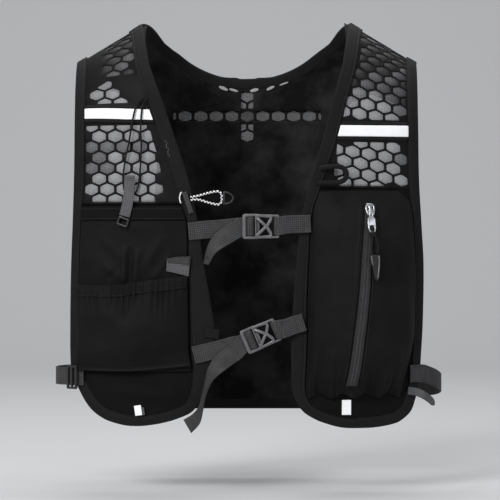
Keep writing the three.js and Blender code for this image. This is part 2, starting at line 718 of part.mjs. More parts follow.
const bottleRim = [
  { across: 0, down: 267.5 },
  { across: 0.4, down: 267 },
  { across: 0.55, down: 264 },
  { across: 1, down: 258 },
];
const bottleFoot = [
  { across: 0, down: 353.5 },
  { across: 0.5, down: 353.5 },
  { across: 1, down: 348 },
];
const bottleLow = layerOne + pocketWall + layerGap + 2.6;
function bottleSpot(u, v) {
  const [rim, foot] = [bottleRim, bottleFoot].map((table) => readTable(table, 'across', u, 'down'));
  const d = lerp(rim, foot, v);
  const ends = leftPocketEnds(d);
  return [lerp(ends[0], ends[1], u), d];
}
function bottleLift(u, v) {
  const fall = Math.sin(Math.PI * Math.min(1, v * 0.9 + 0.1));
  const swell = Math.sin(Math.PI * u) ** 0.7 * (0.45 + 0.55 * fall);
  const closing = 1 - 0.9 * smooth(v, 0.72, 1);
  const gathers = gatherHeight * Math.cos(2 * Math.PI * bottleGathers * u) * (1 - smooth(v, 0.1, 0.5));
  return bottleLow + bottleBulge * swell * closing + gathers * Math.sin(Math.PI * u) ** 0.3;
}
const bottleLayer = (extra) => (u, v) => bottleLift(u, v) + extra;
add('bottle_pocket_left', sheet(24, 5, bottleSpot, front, bottleLayer(0), bottleLayer(pocketWall)), cloth);

// The elastic hem of the bottle pocket lies on its rim and is ruched.
function bottleElastic() {
  const share = bottleHemWidth / 90;
  const low = pocketWall + layerGap;
  const lift = (extra) => (u, v) => bottleLift(u, v * share) + extra;
  const spot = (u, v) => bottleSpot(u, v * share);
  return sheet(24, 1, spot, front, lift(low), lift(low + pocketWall));
}
add('bottle_pocket_elastic', bottleElastic(), binding);

// Right side: the swollen zip pocket, sewn in between the two bindings.
function zipPocketEnds(down) {
  const inset = sideGap + zipFootInset * smooth(down, 0.78, 0.9);
  return [right.innerLimit(down * vestLength) + sideGap, right.outerLimit(down * vestLength) - inset];
}
function zipPocketSpot(u, v) {
  const down = lerp(zipPocketTop, zipPocketFoot, v);
  const ends = zipPocketEnds(down);
  const wave = zipBottomWaveHeight * Math.cos(2 * Math.PI * zipBottomWaves * u) * smooth(v, 0.9, 1);
  const corner = 9 * smooth(u, 0.86, 1) * (1 - smooth(v, 0, 0.1));
  return [lerp(ends[0], ends[1], u), down * vestLength + wave + corner];
}
function zipPocketLift(u, v) {
  const swell = Math.sin(Math.PI * THREE.MathUtils.clamp(u, 0, 1)) ** 0.62;
  const fold = Math.cos(2 * Math.PI * zipBottomWaves * u) * smooth(v, 0.7, 1) + Math.cos(9 * u + 2) * 0.6;
  const out = zipPocketBulge * swell * readTable(zipPocketSwell, 'at', v, 'out');
  return layerOne + out + fold * swell;
}
const zipLayer = (extra) => (u, v) => zipPocketLift(u, v) + extra;
add('zip_pocket_right', sheet(16, 11, zipPocketSpot, front, zipLayer(0), zipLayer(pocketWall)), cloth);

// A point standing off the zip pocket, from its distance across and down.
function onZipPocket(x, d, extra) {
  const down = d / vestLength;
  const ends = zipPocketEnds(down);
  const u = (x - ends[0]) / (ends[1] - ends[0]);
  return front(x, d, zipPocketLift(u, (down - zipPocketTop) / (zipPocketFoot - zipPocketTop)) + extra);
}
// The pocket's own right and outward directions at a spot, for a plate that lies on it.
function zipPocketFrame(x, d, extra) {
  const reach = 4;
  const rightWay = onZipPocket(x + reach, d, 0).sub(onZipPocket(x - reach, d, 0));
  const downWay = onZipPocket(x, d + reach, 0).sub(onZipPocket(x, d - reach, 0));
  const outWay = downWay.clone().cross(rightWay).normalize();
  const crosswise = new THREE.Vector3(1, 0, 0);
  return { at: onZipPocket(x, d, 0).addScaledVector(outWay, extra), crosswise, outWay };
}
function zipCentre(along) {
  const x = shoulderHalf * readTable(zipLine, 'along', along, 'across');
  return [x, zipTopDown * vestLength + along * zipTapeLength];
}
const zipTapeLow = pocketWall + layerGap + 0.3;
const zipPieces = 22;
const zipPath = numbers(zipPieces + 1).map((index) => zipCentre(index / zipPieces));
const zipWidth = (v) => lerp(zipTapeWidthTop, zipTapeWidthFoot, v);
const zipStart = zipPath.map(([x, d], index) => [x - zipWidth(index / zipPieces) / 2, d]);
add('zip_tape_right', band(zipStart, zipWidth, -1, onZipPocket, zipTapeLow, zipTapeLow + tapeWall), binding);

// Plates are drawn flat and set on a point with their own right, up and out directions.
function plate(shape, wall, origin, rightWay, outWay, holes = []) {
  for (const hole of holes) shape.holes.push(new THREE.Path(hole.map(([x, y]) => new THREE.Vector2(x, y))));
  const geometry = new THREE.ExtrudeGeometry(shape, { depth: wall, bevelEnabled: false, curveSegments: 4 });
  const out = outWay.clone().normalize();
  const rightDirection = rightWay.clone().addScaledVector(out, -rightWay.dot(out)).normalize();
  const up = out.clone().cross(rightDirection);
  const turned = new THREE.Matrix4().makeBasis(rightDirection, up, out).setPosition(origin);
  return geometry.applyMatrix4(turned);
}
const outline = (spots) => new THREE.Shape(spots.map(([x, y]) => new THREE.Vector2(x, y)));
const box = (x0, y0, x1, y1) => [[x0, y0], [x1, y0], [x1, y1], [x0, y1]];
function roundedBox(x0, y0, x1, y1, radius) {
  const corners = [
    [x1 - radius, y1 - radius, 0], [x0 + radius, y1 - radius, 1],
    [x0 + radius, y0 + radius, 2], [x1 - radius, y0 + radius, 3],
  ];
  return corners.flatMap(([x, y, turn]) => numbers(3).map((index) => {
    const angle = (turn + index / 2) * Math.PI / 2;
    return [x + radius * Math.cos(angle), y + radius * Math.sin(angle)];
  }));
}

// The slider, its pull, the cord loop through the pull and the grip on the cord.
// The flat slider clears the curved tape by itself.
const sliderLow = zipTapeLow + tapeWall;
const sliderWall = 3.2;
const pullWall = 1.4;
const onPocket = (shape, wall, x, d, extra, holes = []) => {
  const { at, crosswise, outWay } = zipPocketFrame(x, d, extra);
  return plate(outline(shape), wall, at, crosswise, outWay, holes);
};
const sliderOutline = [[-3.2, -5], [3.2, -5], [5.2, 2], [4.4, 6.5], [0, 8], [-4.4, 6.5], [-5.2, 2]];
const sliderSpot = [shoulderHalf * 0.681, 195];
add('zip_slider', onPocket(sliderOutline, sliderWall, ...sliderSpot, sliderLow), metal);
const pullOutline = roundedBox(-3.6, -10.5, 3.6, 11.5, 1.6);
const pullHole = roundedBox(-2, -9, 2, -2.5, 1);
const pullLow = sliderLow + sliderWall + layerGap;
const pullSpot = [sliderSpot[0] - 0.4, sliderSpot[1] + 11];
add('zip_pull', onPocket(pullOutline, pullWall, ...pullSpot, pullLow, [pullHole]), metal);
const gripOutline = [[-3.4, 11], [5.4, 11], [6, 3], [4.6, -13], [2.6, -15], [1, -13], [-2, 3]];
const gripLow = zipTapeLow + tapeWall + 2.4;
const gripSpot = [pullSpot[0] + 0.6, pullSpot[1] + 42];
add('puller_grip', onPocket(gripOutline, 3.2, ...gripSpot, gripLow), plastic);

// The cord passes in front of the pull's foot, back through its hole and down to the grip.
const alongX = new THREE.Vector3(1, 0, 0);
const pullFrame = zipPocketFrame(...pullSpot, pullLow);
const pullUp = pullFrame.outWay.clone().cross(alongX).normalize();
const inPull = ([rightBy, upBy, outBy]) => pullFrame.at.clone().addScaledVector(alongX, rightBy)
  .addScaledVector(pullUp, upBy).addScaledVector(pullFrame.outWay, outBy);
const onPull = [
  [2, -13.4, 2.9], [1, -9.6, 3], [0.3, -6.8, 2.2], [0, -5.9, 0.7], [-0.3, -6.8, -1.2], [-0.8, -9.8, -1.9],
];
const aboveGrip = (rightBy, downBy, extra) => {
  return zipPocketFrame(gripSpot[0] + rightBy, gripSpot[1] + downBy, gripLow + extra).at;
};
const pullerPoints = [
  aboveGrip(3.2, -11.4, 1.6), aboveGrip(3.6, -18, 2.2), aboveGrip(3, -23, 3.6), ...onPull.map(inPull),
  aboveGrip(-1.6, -25, 1.8), aboveGrip(-1.8, -19, 1.8), aboveGrip(-0.8, -11.4, 1.6),
];
add('puller_cord', tube(pullerPoints, pullerCordRadius, 22), webbing);

// Left upper details: the flask cord loop, its strap tab and the ring at the foot of the tab.
const flaskLift = layerTwo + 0.8;
const flaskRoute = [
  [-101, 78, 0], [-107, 83, 0.6], [-110.5, 90, 1.4], [-113.5, 102, 1.4], [-117, 122, 0.4], [-121, 141, 0],
  [-123.5, 158, -1.2], [-122.5, 172, -1.4], [-117, 177, -1.4], [-111, 174, -1.4], [-108, 166, -1.2],
  [-106.2, 150, 0], [-105.2, 130, 0], [-105.6, 110, 0.6], [-104.4, 92, 1.4], [-102, 84, 1], [-98.4, 79.5, 0],
];
const flaskPoints = flaskRoute.map(([x, d, extra]) => front(x, d, flaskLift + extra));
add('flask_loop_cord', tube(flaskPoints, flaskCordRadius, 22), plastic);

// A flat strap laid on the body through named spots, each with its lift.
function laidStrap(route, width, wall, place = front) {
  const stations = route.map(([x, d, lift], index) => {
    const before = route[Math.max(0, index - 1)];
    const after = route[Math.min(route.length - 1, index + 1)];
    const along = new THREE.Vector2(after[0] - before[0], after[1] - before[1]).normalize();
    const ahead = place(x - along.y * 2, d + along.x * 2, lift);
    return { at: place(x, d, lift), across: ahead.sub(place(x + along.y * 2, d - along.x * 2, lift)) };
  });
  return ribbon(stations, width, wall);
}
const tabLift = flaskLift + flaskCordRadius + layerGap + webbingWall / 2;
const tabRoute = [
  [-116.2, 157, tabLift], [-116.8, 172, tabLift], [-118, 185, tabLift + 1.4], [-121, 198, tabLift + 1.6],
];
add('flask_strap_tab', laidStrap(tabRoute, 11, webbingWall), webbing);
const ringOutline = roundedBox(-5.8, -4.6, 5.8, 4.6, 1.2);
const ringAt = front(-122.6, 203.6, tabLift + 0.4);
const ringRight = front(-120, 204.8, 0).sub(front(-126, 202.6, 0));
const ringOut = front(-123, 203, 5).sub(front(-123, 203, 0));
const ringHole = roundedBox(-4, -2.6, 4, 2.6, 0.6);
add('flask_strap_ring', plate(outline(ringOutline), 2, ringAt, ringRight, ringOut, [ringHole]), plastic);

// The elastic keeper on the front binding, with the reflective cord loop and its end hook.
const keeperLift = layerTwo + webbingWall / 2;
const keeperRoute = [[-62.5, 174, keeperLift], [-59, 184, keeperLift + 1.2], [-55.5, 195, keeperLift]];
add('elastic_keeper', laidStrap(keeperRoute, 5, webbingWall), webbing);
const cordRoute = [
  [-56.4, 179.2, 7.6], [-48, 177.6, 8.4], [-38, 174.8, 8.4], [-29, 173.4, 8.4], [-25.6, 176, 8.4],
  [-25.2, 180, 8.4], [-25.6, 184, 8.4], [-29, 186.4, 8.4], [-38, 184.6, 8.4],
  [-48, 181.6, 8.4], [-56.4, 181.8, 7.6],
];
const cordPoints = cordRoute.map(([x, d, lift]) => front(x, d, lift));
add('reflective_cord_loop', tube(cordPoints, reflectiveCordRadius, 20), reflective);
const hookAt = front(-23.4, 180, 7.4);
const bodyOut = front(-23.4, 180, 5).sub(front(-23.4, 180, 0));
const arcPoints = (radius, height) => numbers(9).map((index) => {
  const angle = lerp(-Math.PI / 2, Math.PI / 2, index / 8);
  return [1.4 + radius * Math.cos(angle), height * Math.sin(angle)];
});
const hookOutline = [[-0.2, -6.4], ...arcPoints(8.8, 6.4), [-0.2, 6.4]];
const hookHole = [[1.3, -4.9], ...arcPoints(7.2, 4.9), [1.3, 4.9]];
add('cord_end_hook', plate(outline(hookOutline), 1.8, hookAt, alongX, bodyOut, [hookHole]), plastic);

// The elastic hose loop on the right front binding.
const hoseLift = layerTwo + hoseLoopRadius;
const hoseRoute = [
  [71.5, 150.4, 0], [80, 149, 1.4], [90, 148.4, 2.4], [96, 151, 2.6], [98.4, 156.4, 2.6],
  [96, 161.6, 2.6], [90, 164.2, 2.4], [80, 164.6, 1.4], [70, 165, 0],
];
const hosePoints = hoseRoute.map(([x, d, extra]) => front(x, d, hoseLift + extra));
add('hose_loop_right', tube(hosePoints, hoseLoopRadius, 16), plastic);

// Small tabs.
function layTab(name, route, width, finish, wall = webbingWall) {
  return add(name, laidStrap(route, width, wall), finish);
}
const fanLift = layerTwo + webbingWall / 2 + 0.9;
const fanRoute = [[-80, 246.5, fanLift], [-70, 246, fanLift], [-57.2, 247.4, fanLift]];
layTab('webbing_fan_tab', fanRoute, 17, webbing);
const keeperTabRoute = [[-42, 314.5, keeperLift], [-35, 315.5, keeperLift], [-28, 316.5, keeperLift]];
layTab('strap_keeper_tab', keeperTabRoute, 9.5, webbing);
const foldedTab = (x, rises, lift) => rises.map((rise) => [x, vestLength - rise, lift]);
layTab('bottom_tab_left', foldedTab(-108, [18.5, 9], layerTwo + tapeWall / 2), 9.2, reflective, tapeWall);
layTab('bottom_tab_right', foldedTab(99.6, [24.5, 9.5], layerOne + tapeWall / 2), 9.4, reflective, tapeWall);

// Keeps the width of a strap pointing the same way from one station to the next.
function steady(stations) {
  let last = stations[0].across;
  return stations.map(({ at, across }) => {
    last = last.dot(across) < 0 ? across.clone().negate() : across.clone();
    return { at, across: last };
  });
}

// Chest straps. Each buckle has its own flat frame: along the strap, across it and outward.
function chestStrap(name, buckle, leftRoute, tailRoute, rightRoute) {
  const middle = front(buckle.x, buckle.d, 0);
  const outWay = new THREE.Vector3(0, -1, 0);
  const along = new THREE.Vector3(Math.cos(buckle.rise), 0, Math.sin(buckle.rise));
  const across = new THREE.Vector3(-Math.sin(buckle.rise), 0, Math.cos(buckle.rise));
  const local = (a, out) => middle.clone().addScaledVector(along, a).addScaledVector(outWay, out);
  const frameLow = strapFloat + webbingWall + layerGap;
  const hookLow = frameLow + buckleWall + layerGap;
  const half = buckleHeight / 2;
  const halfWide = webbingWidth / 2;
  const slot = (from, spare) => box(from, -halfWide - spare, from + slotWidth, halfWide + spare);
  const centreBar = barWidth + slotWidth;
  const ladder = outline(roundedBox(0, -half, ladderLength + barWidth - 2.6, half, 1.6));
  const ladderHoles = [slot(barWidth, 0.7), slot(centreBar + 2.6, 0.9)];
  const ladderAt = local(0, frameLow);
  add(`${name}_buckle_ladder`, plate(ladder, buckleWall, ladderAt, along, outWay, ladderHoles), plastic);

  // The hook plate is an X between two rails, with a bar that holds the right strap.
  const hookFrom = ladderLength - hookOverlap;
  const tall = half - 0.5;
  const farTall = webbingWidth / 2 + 2.6;
  const hookOutline = [
    [0, -tall], [6, -tall], [hookLength, -farTall], [hookLength, farTall], [6, tall], [0, tall],
  ];
  const cross = 0.46 * hookLength;
  const barAt = hookLength - barWidth;
  const arm = 1.5;
  const slotHalf = webbingWidth / 2 + 0.7;
  const slotFrom = barAt - slotWidth;
  const windows = [
    [[arm * 2.2, tall - 2.4], [cross, arm * 1.3], [slotFrom - arm * 1.4, tall - 3.4]],
    [[slotFrom - arm * 1.4, 3.4 - tall], [cross, -arm * 1.3], [arm * 2.2, 2.4 - tall]],
    [[1.2, 4.6 - tall], [cross - arm * 1.4, 0], [1.2, tall - 4.6]],
    [
      [cross + arm * 1.4, 0], [slotFrom, -slotHalf * 0.62], [slotFrom, -slotHalf], [barAt, -slotHalf],
      [barAt, slotHalf], [slotFrom, slotHalf], [slotFrom, slotHalf * 0.62],
    ],
  ];
  const hookAt = local(hookFrom, hookLow);
  const hookPlate = plate(outline(hookOutline), buckleWall, hookAt, along, outWay, windows);
  add(`${name}_buckle_hook`, hookPlate, plastic);

  // A route's fourth number is the twist, in degrees, which brings the lower edge forward.
  const lay = (route) => route.map(([x, d, lift, twist = 0], index) => {
    const before = route[Math.max(0, index - 1)];
    const after = route[Math.min(route.length - 1, index + 1)];
    const way = new THREE.Vector2(after[0] - before[0], after[1] - before[1]).normalize();
    const turn = twist * Math.PI / 180;
    const flat = new THREE.Vector3(way.y, 0, way.x).multiplyScalar(Math.cos(turn));
    return { at: front(x, d, lift), across: flat.addScaledVector(outWay, Math.sin(turn)) };
  });
  // The left strap runs under the ladder, turns round its middle bar and comes back as the tail.
  const turnRadius = (buckleWall + webbingWall) / 2 + layerGap;
  const barMiddle = centreBar + 1.3;
  const turn = numbers(7).map((index) => {
    const angle = lerp(-Math.PI / 2, Math.PI / 2, index / 6);
    const lift = frameLow + buckleWall / 2 + turnRadius * Math.sin(angle);
    return { at: local(barMiddle + (turnRadius + 0.5) * Math.cos(angle), lift), across };
  });
  const under = [{ at: local(-2, frameLow + buckleWall / 2 - turnRadius), across }];
  const over = [{ at: local(-1.5, frameLow + buckleWall / 2 + turnRadius), across }];
  const leftStations = steady([...lay(leftRoute), ...under, ...turn, ...over, ...lay(tailRoute)]);
  add(`${name}_strap_left`, ribbon(leftStations, webbingWidth, webbingWall), webbing);

  // The right strap turns round the hook's bar and doubles back under itself.
  const barCentre = hookFrom + hookLength - barWidth / 2;
  const hookMiddle = hookLow + buckleWall / 2;
  const rightTurn = numbers(7).map((index) => {
    const angle = lerp(Math.PI / 2, 3 * Math.PI / 2, index / 6);
    const lift = hookMiddle + turnRadius * Math.sin(angle);
    return { at: local(barCentre + (turnRadius + 0.5) * Math.cos(angle), lift), across };
  });
  const lowRun = lay(rightRoute.slice(1, 3)).map(({ at, across: wide }) => {
    return { at: at.clone().addScaledVector(outWay, -webbingWall - layerGap), across: wide };
  });
  const rightStations = steady([...lay(rightRoute).reverse(), ...rightTurn, ...lowRun]);
  add(`${name}_strap_right`, ribbon(rightStations, webbingWidth, webbingWall), webbing);
}

const onPanel = layerTwo + webbingWall / 2;
const overPanel = onPanel + webbingWall + layerGap;
const tailOut = strapFloat + webbingWall * 1.5 + buckleWall + 2 * layerGap;
const hookTop = tailOut + buckleWall + layerGap;
chestStrap('upper', upperBuckle, [
  [-58.5, 213.4, onPanel], [-50, 212.6, onPanel], [-43, 211.8, onPanel], [-32, 211, 3.2], [-18, 209.8, 2.6],
], [
  [-9, 210.6, tailOut + 0.4], [-18, 216, tailOut + 1.4, 8], [-28, 223.5, tailOut + 4, 30],
  [-35.5, 233, tailOut + 6.4, 58], [-40.5, 246, tailOut + 7.4, 76],
], [
  [38, 206.6, hookTop - 0.6], [45, 206.2, hookTop - 2.2], [53, 206, overPanel], [63.5, 205.6, overPanel],
]);
chestStrap('lower', lowerBuckle, [
  [-53.5, 337.5, onPanel], [-42, 334.6, onPanel], [-30, 331.6, onPanel],
  [-22, 329.8, 3.2], [-14, 327.6, 2.6],
], [
  [-12, 334, tailOut + 0.4], [-22, 341, tailOut + 1.4, 10], [-31, 350, tailOut + 4.4, 38],
  [-38, 362, tailOut + 7, 70], [-43, 378, tailOut + 7.4, 80], [-46, 391, tailOut + 6.4, 74],
  [-51, 401, tailOut + 5, 52], [-59, 408, tailOut + 3.6, 36],
], [
  [34.5, 311.4, hookTop - 0.6], [40, 309.6, hookTop - 2.2], [47, 307, overPanel], [57, 304, overPanel],
]);

// Side straps run round the open sides, from the front panels to the back panel.
const sideTuck = 8;
const strapReach = [-2.4, 3.4, 10.9];
const vertical = new THREE.Vector3(0, 0, 1);
function sideStrap(name, hand, side, rise, dropBy, bulgeBy) {
  const [frontDown, backDown] = rise.map((height) => vestLength - height);
  const onFront = strapReach.map((reach) => {
    return front(hand * (side.outerLimit(frontDown) + reach), frontDown, onPanel);
  });
  const onBack = [126, 118, 110].map((x) => back(hand * x, backDown, onPanel));
  const round = numbers(9).map((index) => {
    const angle = lerp(-0.4, 0.88, index / 8);
    const sag = Math.sin((index + 0.5) / 9 * Math.PI);
    const power = 2 / torsoRoundness;
    const x = (torsoHalf - sideTuck + onPanel + bulgeBy * sag) * Math.cos(angle) ** power;
    const y = (chestDepth * 0.93 + onPanel) * Math.sign(angle) * Math.abs(Math.sin(angle)) ** power;
    return new THREE.Vector3(hand * x, y, -lerp(frontDown, backDown, (index + 0.5) / 9) - dropBy * sag);
  });
  const stations = [...onFront, ...round, ...onBack].map((at) => ({ at, across: vertical }));
  return add(name, ribbon(stations, webbingWidth, webbingWall), webbing);
}
const sideRiseLeft = [47, 46];
sideStrap('side_strap_left', -1, left, sideRiseLeft, 1, 1);
sideStrap('side_strap_right', 1, right, [50, 29], 7, 5);
const barsReach = { middle: 7.5, lean: [12.4, 20.4], out: 2.15, fall: 0.5 };
function sideBars(name, hand, side, rise) {
  const d = vestLength - rise + barsReach.fall;
  const spot = (reach) => front(hand * (side.outerLimit(d) + reach), d, onPanel + barsReach.out);
  const [near, far] = barsReach.lean.map(spot);
  const acrossWay = near.sub(far).setZ(0).normalize();
  const away = acrossWay.clone().cross(vertical).multiplyScalar(-hand * Math.sign(acrossWay.x));
  const frame = outline(roundedBox(-7, -12, 7, 12, 1.6));
  const holes = [box(-4.6, -9.8, -1, 9.8), box(1, -9.6, 4.6, 9.6)];
  return add(name, plate(frame, buckleWall, spot(barsReach.middle), acrossWay, away, holes), plastic);
}
sideBars('side_buckle_left', -1, left, sideRiseLeft[0]);
const tailStart = [[-0.7, 33], [7.8, 31.5]];
const freeTail = [[21, -56, 28], [14, -48, 23], [9, -38, 18]];
const tailSpots = tailStart.map(([reach, rise]) => {
  return front(right.outerLimit(vestLength - rise) + reach, vestLength - rise, onPanel);
});
tailSpots.push(...freeTail.map(([inset, y, rise]) => {
  return new THREE.Vector3(torsoHalf - inset, y, rise - vestLength);
}));
const tailStations = tailSpots.map((at) => ({ at, across: vertical }));
add('side_strap_tail_right', ribbon(tailStations, 8, webbingWall), webbing);

export default group;
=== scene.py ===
import math
import bmesh
import bpy
import numpy as np
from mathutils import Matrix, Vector
from mathutils.geometry import delaunay_2d_cdt


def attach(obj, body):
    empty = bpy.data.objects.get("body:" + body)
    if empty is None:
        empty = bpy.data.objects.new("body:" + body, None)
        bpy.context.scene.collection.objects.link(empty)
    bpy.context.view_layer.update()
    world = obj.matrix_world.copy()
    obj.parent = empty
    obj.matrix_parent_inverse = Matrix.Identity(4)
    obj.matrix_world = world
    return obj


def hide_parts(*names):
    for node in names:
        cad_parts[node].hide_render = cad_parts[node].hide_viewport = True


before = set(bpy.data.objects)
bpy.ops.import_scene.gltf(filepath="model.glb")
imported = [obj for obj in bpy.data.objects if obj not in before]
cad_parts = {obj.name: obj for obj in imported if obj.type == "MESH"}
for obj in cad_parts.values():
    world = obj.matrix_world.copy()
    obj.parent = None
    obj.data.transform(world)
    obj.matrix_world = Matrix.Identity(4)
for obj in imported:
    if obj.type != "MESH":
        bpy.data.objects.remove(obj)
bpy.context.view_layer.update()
scene = bpy.context.scene

# Lengths are millimetres until a mesh is made. A spot on the body is (x, d): d is how far
# below the shoulder tops it lies, with the rounded shoulder rolled out flat.
body = {
    "length": 407, "shoulderHalf": 174, "neckHalf": 107, "shoulderDrop": 40, "archHeight": 90,
    "chestDepth": 85, "torsoHalf": 200, "roundness": 2.6, "taper": 0.1, "ridgeGap": 0.3,
}
half = body["shoulderHalf"]
long = body["length"]
archHeight = body["archHeight"]
archRun = archHeight * math.pi / 2


def linear(hexText):
    # sRGB hex to linear colour
    parts = [int(hexText[i:i + 2], 16) / 255 for i in (1, 3, 5)]
    return [c / 12.92 if c <= 0.04045 else ((c + 0.055) / 1.055) ** 2.4 for c in parts] + [1.0]


# the camera looks level at the vest from well in front
view = {"spot": (0.003, -2.385, -0.232), "lens": 165.6, "sensor": 36}
camera = bpy.data.objects.new("camera", bpy.data.cameras.new("camera"))
scene.collection.objects.link(camera)
camera.location = view["spot"]
camera.rotation_euler = (math.pi / 2, 0, 0)
camera.data.lens = view["lens"]
camera.data.sensor_width = view["sensor"]
scene.camera = camera

studio = {"floorZ": -0.475, "wallY": 3.7, "bend": 1.4, "wide": 9, "world": 0.3, "worldHex": "#f2f2f3",
          "ground": "#b9babc"}


def softLight(name, spot, aim, size, power, hexText="#ffffff"):
    lamp = bpy.data.lights.new(name, "AREA")
    lamp.shape = "RECTANGLE"
    lamp.size, lamp.size_y = size
    lamp.energy = power
    lamp.color = linear(hexText)[:3]
    holder = bpy.data.objects.new(name, lamp)
    scene.collection.objects.link(holder)
    holder.location = spot
    holder.rotation_euler = (Vector(aim) - Vector(spot)).to_track_quat("-Z", "Y").to_euler()


softLight("keyLight", (-1.3, -2.0, 1.1), (0, 0, -0.2), (1.1, 1.1), 62)
softLight("fillLight", (1.7, -1.8, 0.2), (0, 0, -0.2), (1.2, 1.6), 14, "#f4f7ff")
softLight("topLight", (0.1, 0.2, 1.7), (0, 0, -0.2), (1.6, 1.2), 30)
softLight("wallLight", (0, 1.9, 2.6), (0, 3.4, -0.1), (4.0, 0.8), 40)

world = bpy.data.worlds.new("studioWorld")
scene.world = world
world.use_nodes = True
world.node_tree.nodes["Background"].inputs["Color"].default_value = linear(studio["worldHex"])
world.node_tree.nodes["Background"].inputs["Strength"].default_value = studio["world"]
scene.view_settings.view_transform = "Standard"
print("camera and lights set")


# the rounded chest that the vest is laid on
def ridgeZ(x):
    # the height of the shoulder's top line
    return -body["shoulderDrop"] * (np.abs(x) - body["neckHalf"]) / (half - body["neckHalf"])


def bodyDepth(x):
    # how far the chest stands out from its middle plane
    share = np.minimum(0.999, np.abs(x) / body["torsoHalf"])
    power = body["roundness"]
    return body["chestDepth"] * (1 - share ** power) ** (1 / power)


def unroll(x, z):
    # height to d
    fall = np.maximum(0, ridgeZ(x) - z)
    onArch = archRun * np.arccos(np.clip(1 - fall / archHeight, 0, 1)) / (math.pi / 2)
    way = np.where(fall < archHeight, onArch, archRun + fall - archHeight)
    return way - archRun + archHeight - ridgeZ(x)


def skinFlat(x, d, side):
    # the bare surface: an arch over the shoulder, then straight down with a slight taper
    way = np.maximum(body["ridgeGap"], d + archRun - archHeight + ridgeZ(x))
    angle = np.minimum(way, archRun) / archRun * math.pi / 2
    straight = np.maximum(0, way - archRun)
    z = ridgeZ(x) - archHeight * (1 - np.cos(angle)) - straight
    y = side * bodyDepth(x) * np.sin(angle) * (1 - body["taper"] * straight / long)
    return np.stack([x + 0 * z, y, z], -1)


def skin(x, d, side=-1, lift=0.0):
    # a point on the body, lifted off it; the front is side -1
    x, d, lift = np.broadcast_arrays(np.asarray(x, float), np.asarray(d, float), np.asarray(lift, float))
    step = 0.4
    safe = np.maximum(d, archHeight - archRun - ridgeZ(x) + body["ridgeGap"] + step)
    down = skinFlat(x, safe + step, side) - skinFlat(x, safe - step, side)
    right = skinFlat(x + step, safe - ridgeZ(x + step) + ridgeZ(x), side)
    right = right - skinFlat(x - step, safe - ridgeZ(x - step) + ridgeZ(x), side)
    normal = np.cross(down, right)
    normal = normal / np.linalg.norm(normal, axis=-1, keepdims=True) * (1 if side == -1 else -1)
    return skinFlat(x, d, side) + normal * lift[..., None]


def tableAt(keys, values, at):
    # a smooth line through a table's rows
    keys, values, at = (np.asarray(a, float) for a in (keys, values, at))
    row = np.clip(np.searchsorted(keys, at) - 1, 0, len(keys) - 2)
    before, after = np.maximum(row - 1, 0), np.minimum(row + 2, len(keys) - 1)
    gap = keys[row + 1] - keys[row]
    t = np.clip((at - keys[row]) / gap, 0, 1)
    slopeLow = (values[row + 1] - values[before]) / (keys[row + 1] - keys[before])
    slopeHigh = (values[after] - values[row]) / (keys[after] - keys[row])
    return ((2 * t ** 3 - 3 * t ** 2 + 1) * values[row] + (t ** 3 - 2 * t ** 2 + t) * gap * slopeLow
            + (3 * t ** 2 - 2 * t ** 3) * values[row + 1] + (t ** 3 - t ** 2) * gap * slopeHigh)


def gridOf(across, down, acrossEnds=(0, 1), downEnds=(0, 1)):
    return np.meshgrid(np.linspace(*acrossEnds, across), np.linspace(*downEnds, down))


def smooth(x, low, high):
    t = np.clip((np.asarray(x, float) - low) / (high - low), 0, 1)
    return t * t * (3 - 2 * t)


def mix(a, b, t):
    return a + (b - a) * t


def clouds(x, y, size, seed):
    # soft random hills, from -1 to 1, on a lattice of that size
    rng = np.random.default_rng(seed)
    lattice = rng.uniform(-1, 1, (64, 64))
    u, v = np.asarray(x, float) / size + 1000, np.asarray(y, float) / size + 1000
    i, j = np.floor(u).astype(int), np.floor(v).astype(int)
    s, t = u - i, v - j
    s, t = s * s * (3 - 2 * s), t * t * (3 - 2 * t)
    pick = lambda a, b: lattice[a % 64, b % 64]
    return mix(mix(pick(i, j), pick(i + 1, j), s), mix(pick(i, j + 1), pick(i + 1, j + 1), s), t)


def crease(x, d, row):
    # a ridge, or a valley where the height is negative, that fades out at both ends
    x0, d0, x1, d1, wide, high = row
    ax, ad = x1 - x0, d1 - d0
    run = math.hypot(ax, ad)
    t = ((x - x0) * ax + (d - d0) * ad) / run ** 2
    off = ((x - x0) * ad - (d - d0) * ax) / run
    fade = np.clip(np.sin(np.clip(t, 0, 1) * math.pi), 0, 1) ** 0.6
    return high * np.exp(-(off / wide) ** 2) * fade


# edges of the panels: share down the vest, inner edge, outer edge
leftEdges = np.array([(0, 0.63, 1), (0.1, 0.573, 0.997), (0.196, 0.496, 0.992), (0.3, 0.414, 0.992),
                      (0.4, 0.34, 0.996), (0.5, 0.289, 1.003), (0.6, 0.254, 1.012), (0.7, 0.213, 1.017),
                      (0.77, 0.19, 1.018), (0.82, 0.197, 1.018), (0.87, 0.216, 1.01), (0.913, 0.243, 0.97),
                      (0.948, 0.283, 0.925), (0.97, 0.328, 0.88), (0.987, 0.42, 0.82), (0.996, 0.5, 0.76),
                      (1.001, 0.57, 0.71), (1.003, 0.62, 0.67)])
rightEdges = np.array([(0, 0.61, 1), (0.1, 0.558, 0.992), (0.196, 0.5, 0.984), (0.3, 0.437, 0.985),
                       (0.4, 0.367, 0.99), (0.5, 0.314, 1.003), (0.6, 0.29, 1.016), (0.7, 0.27, 1.015),
                       (0.77, 0.26, 1.01), (0.82, 0.257, 1.003), (0.87, 0.259, 0.996), (0.913, 0.265, 0.984),
                       (0.948, 0.294, 0.963), (0.97, 0.334, 0.942), (0.987, 0.4, 0.9), (0.996, 0.455, 0.865),
                       (1.003, 0.51, 0.8), (1.007, 0.56, 0.73), (1.008, 0.61, 0.67)])
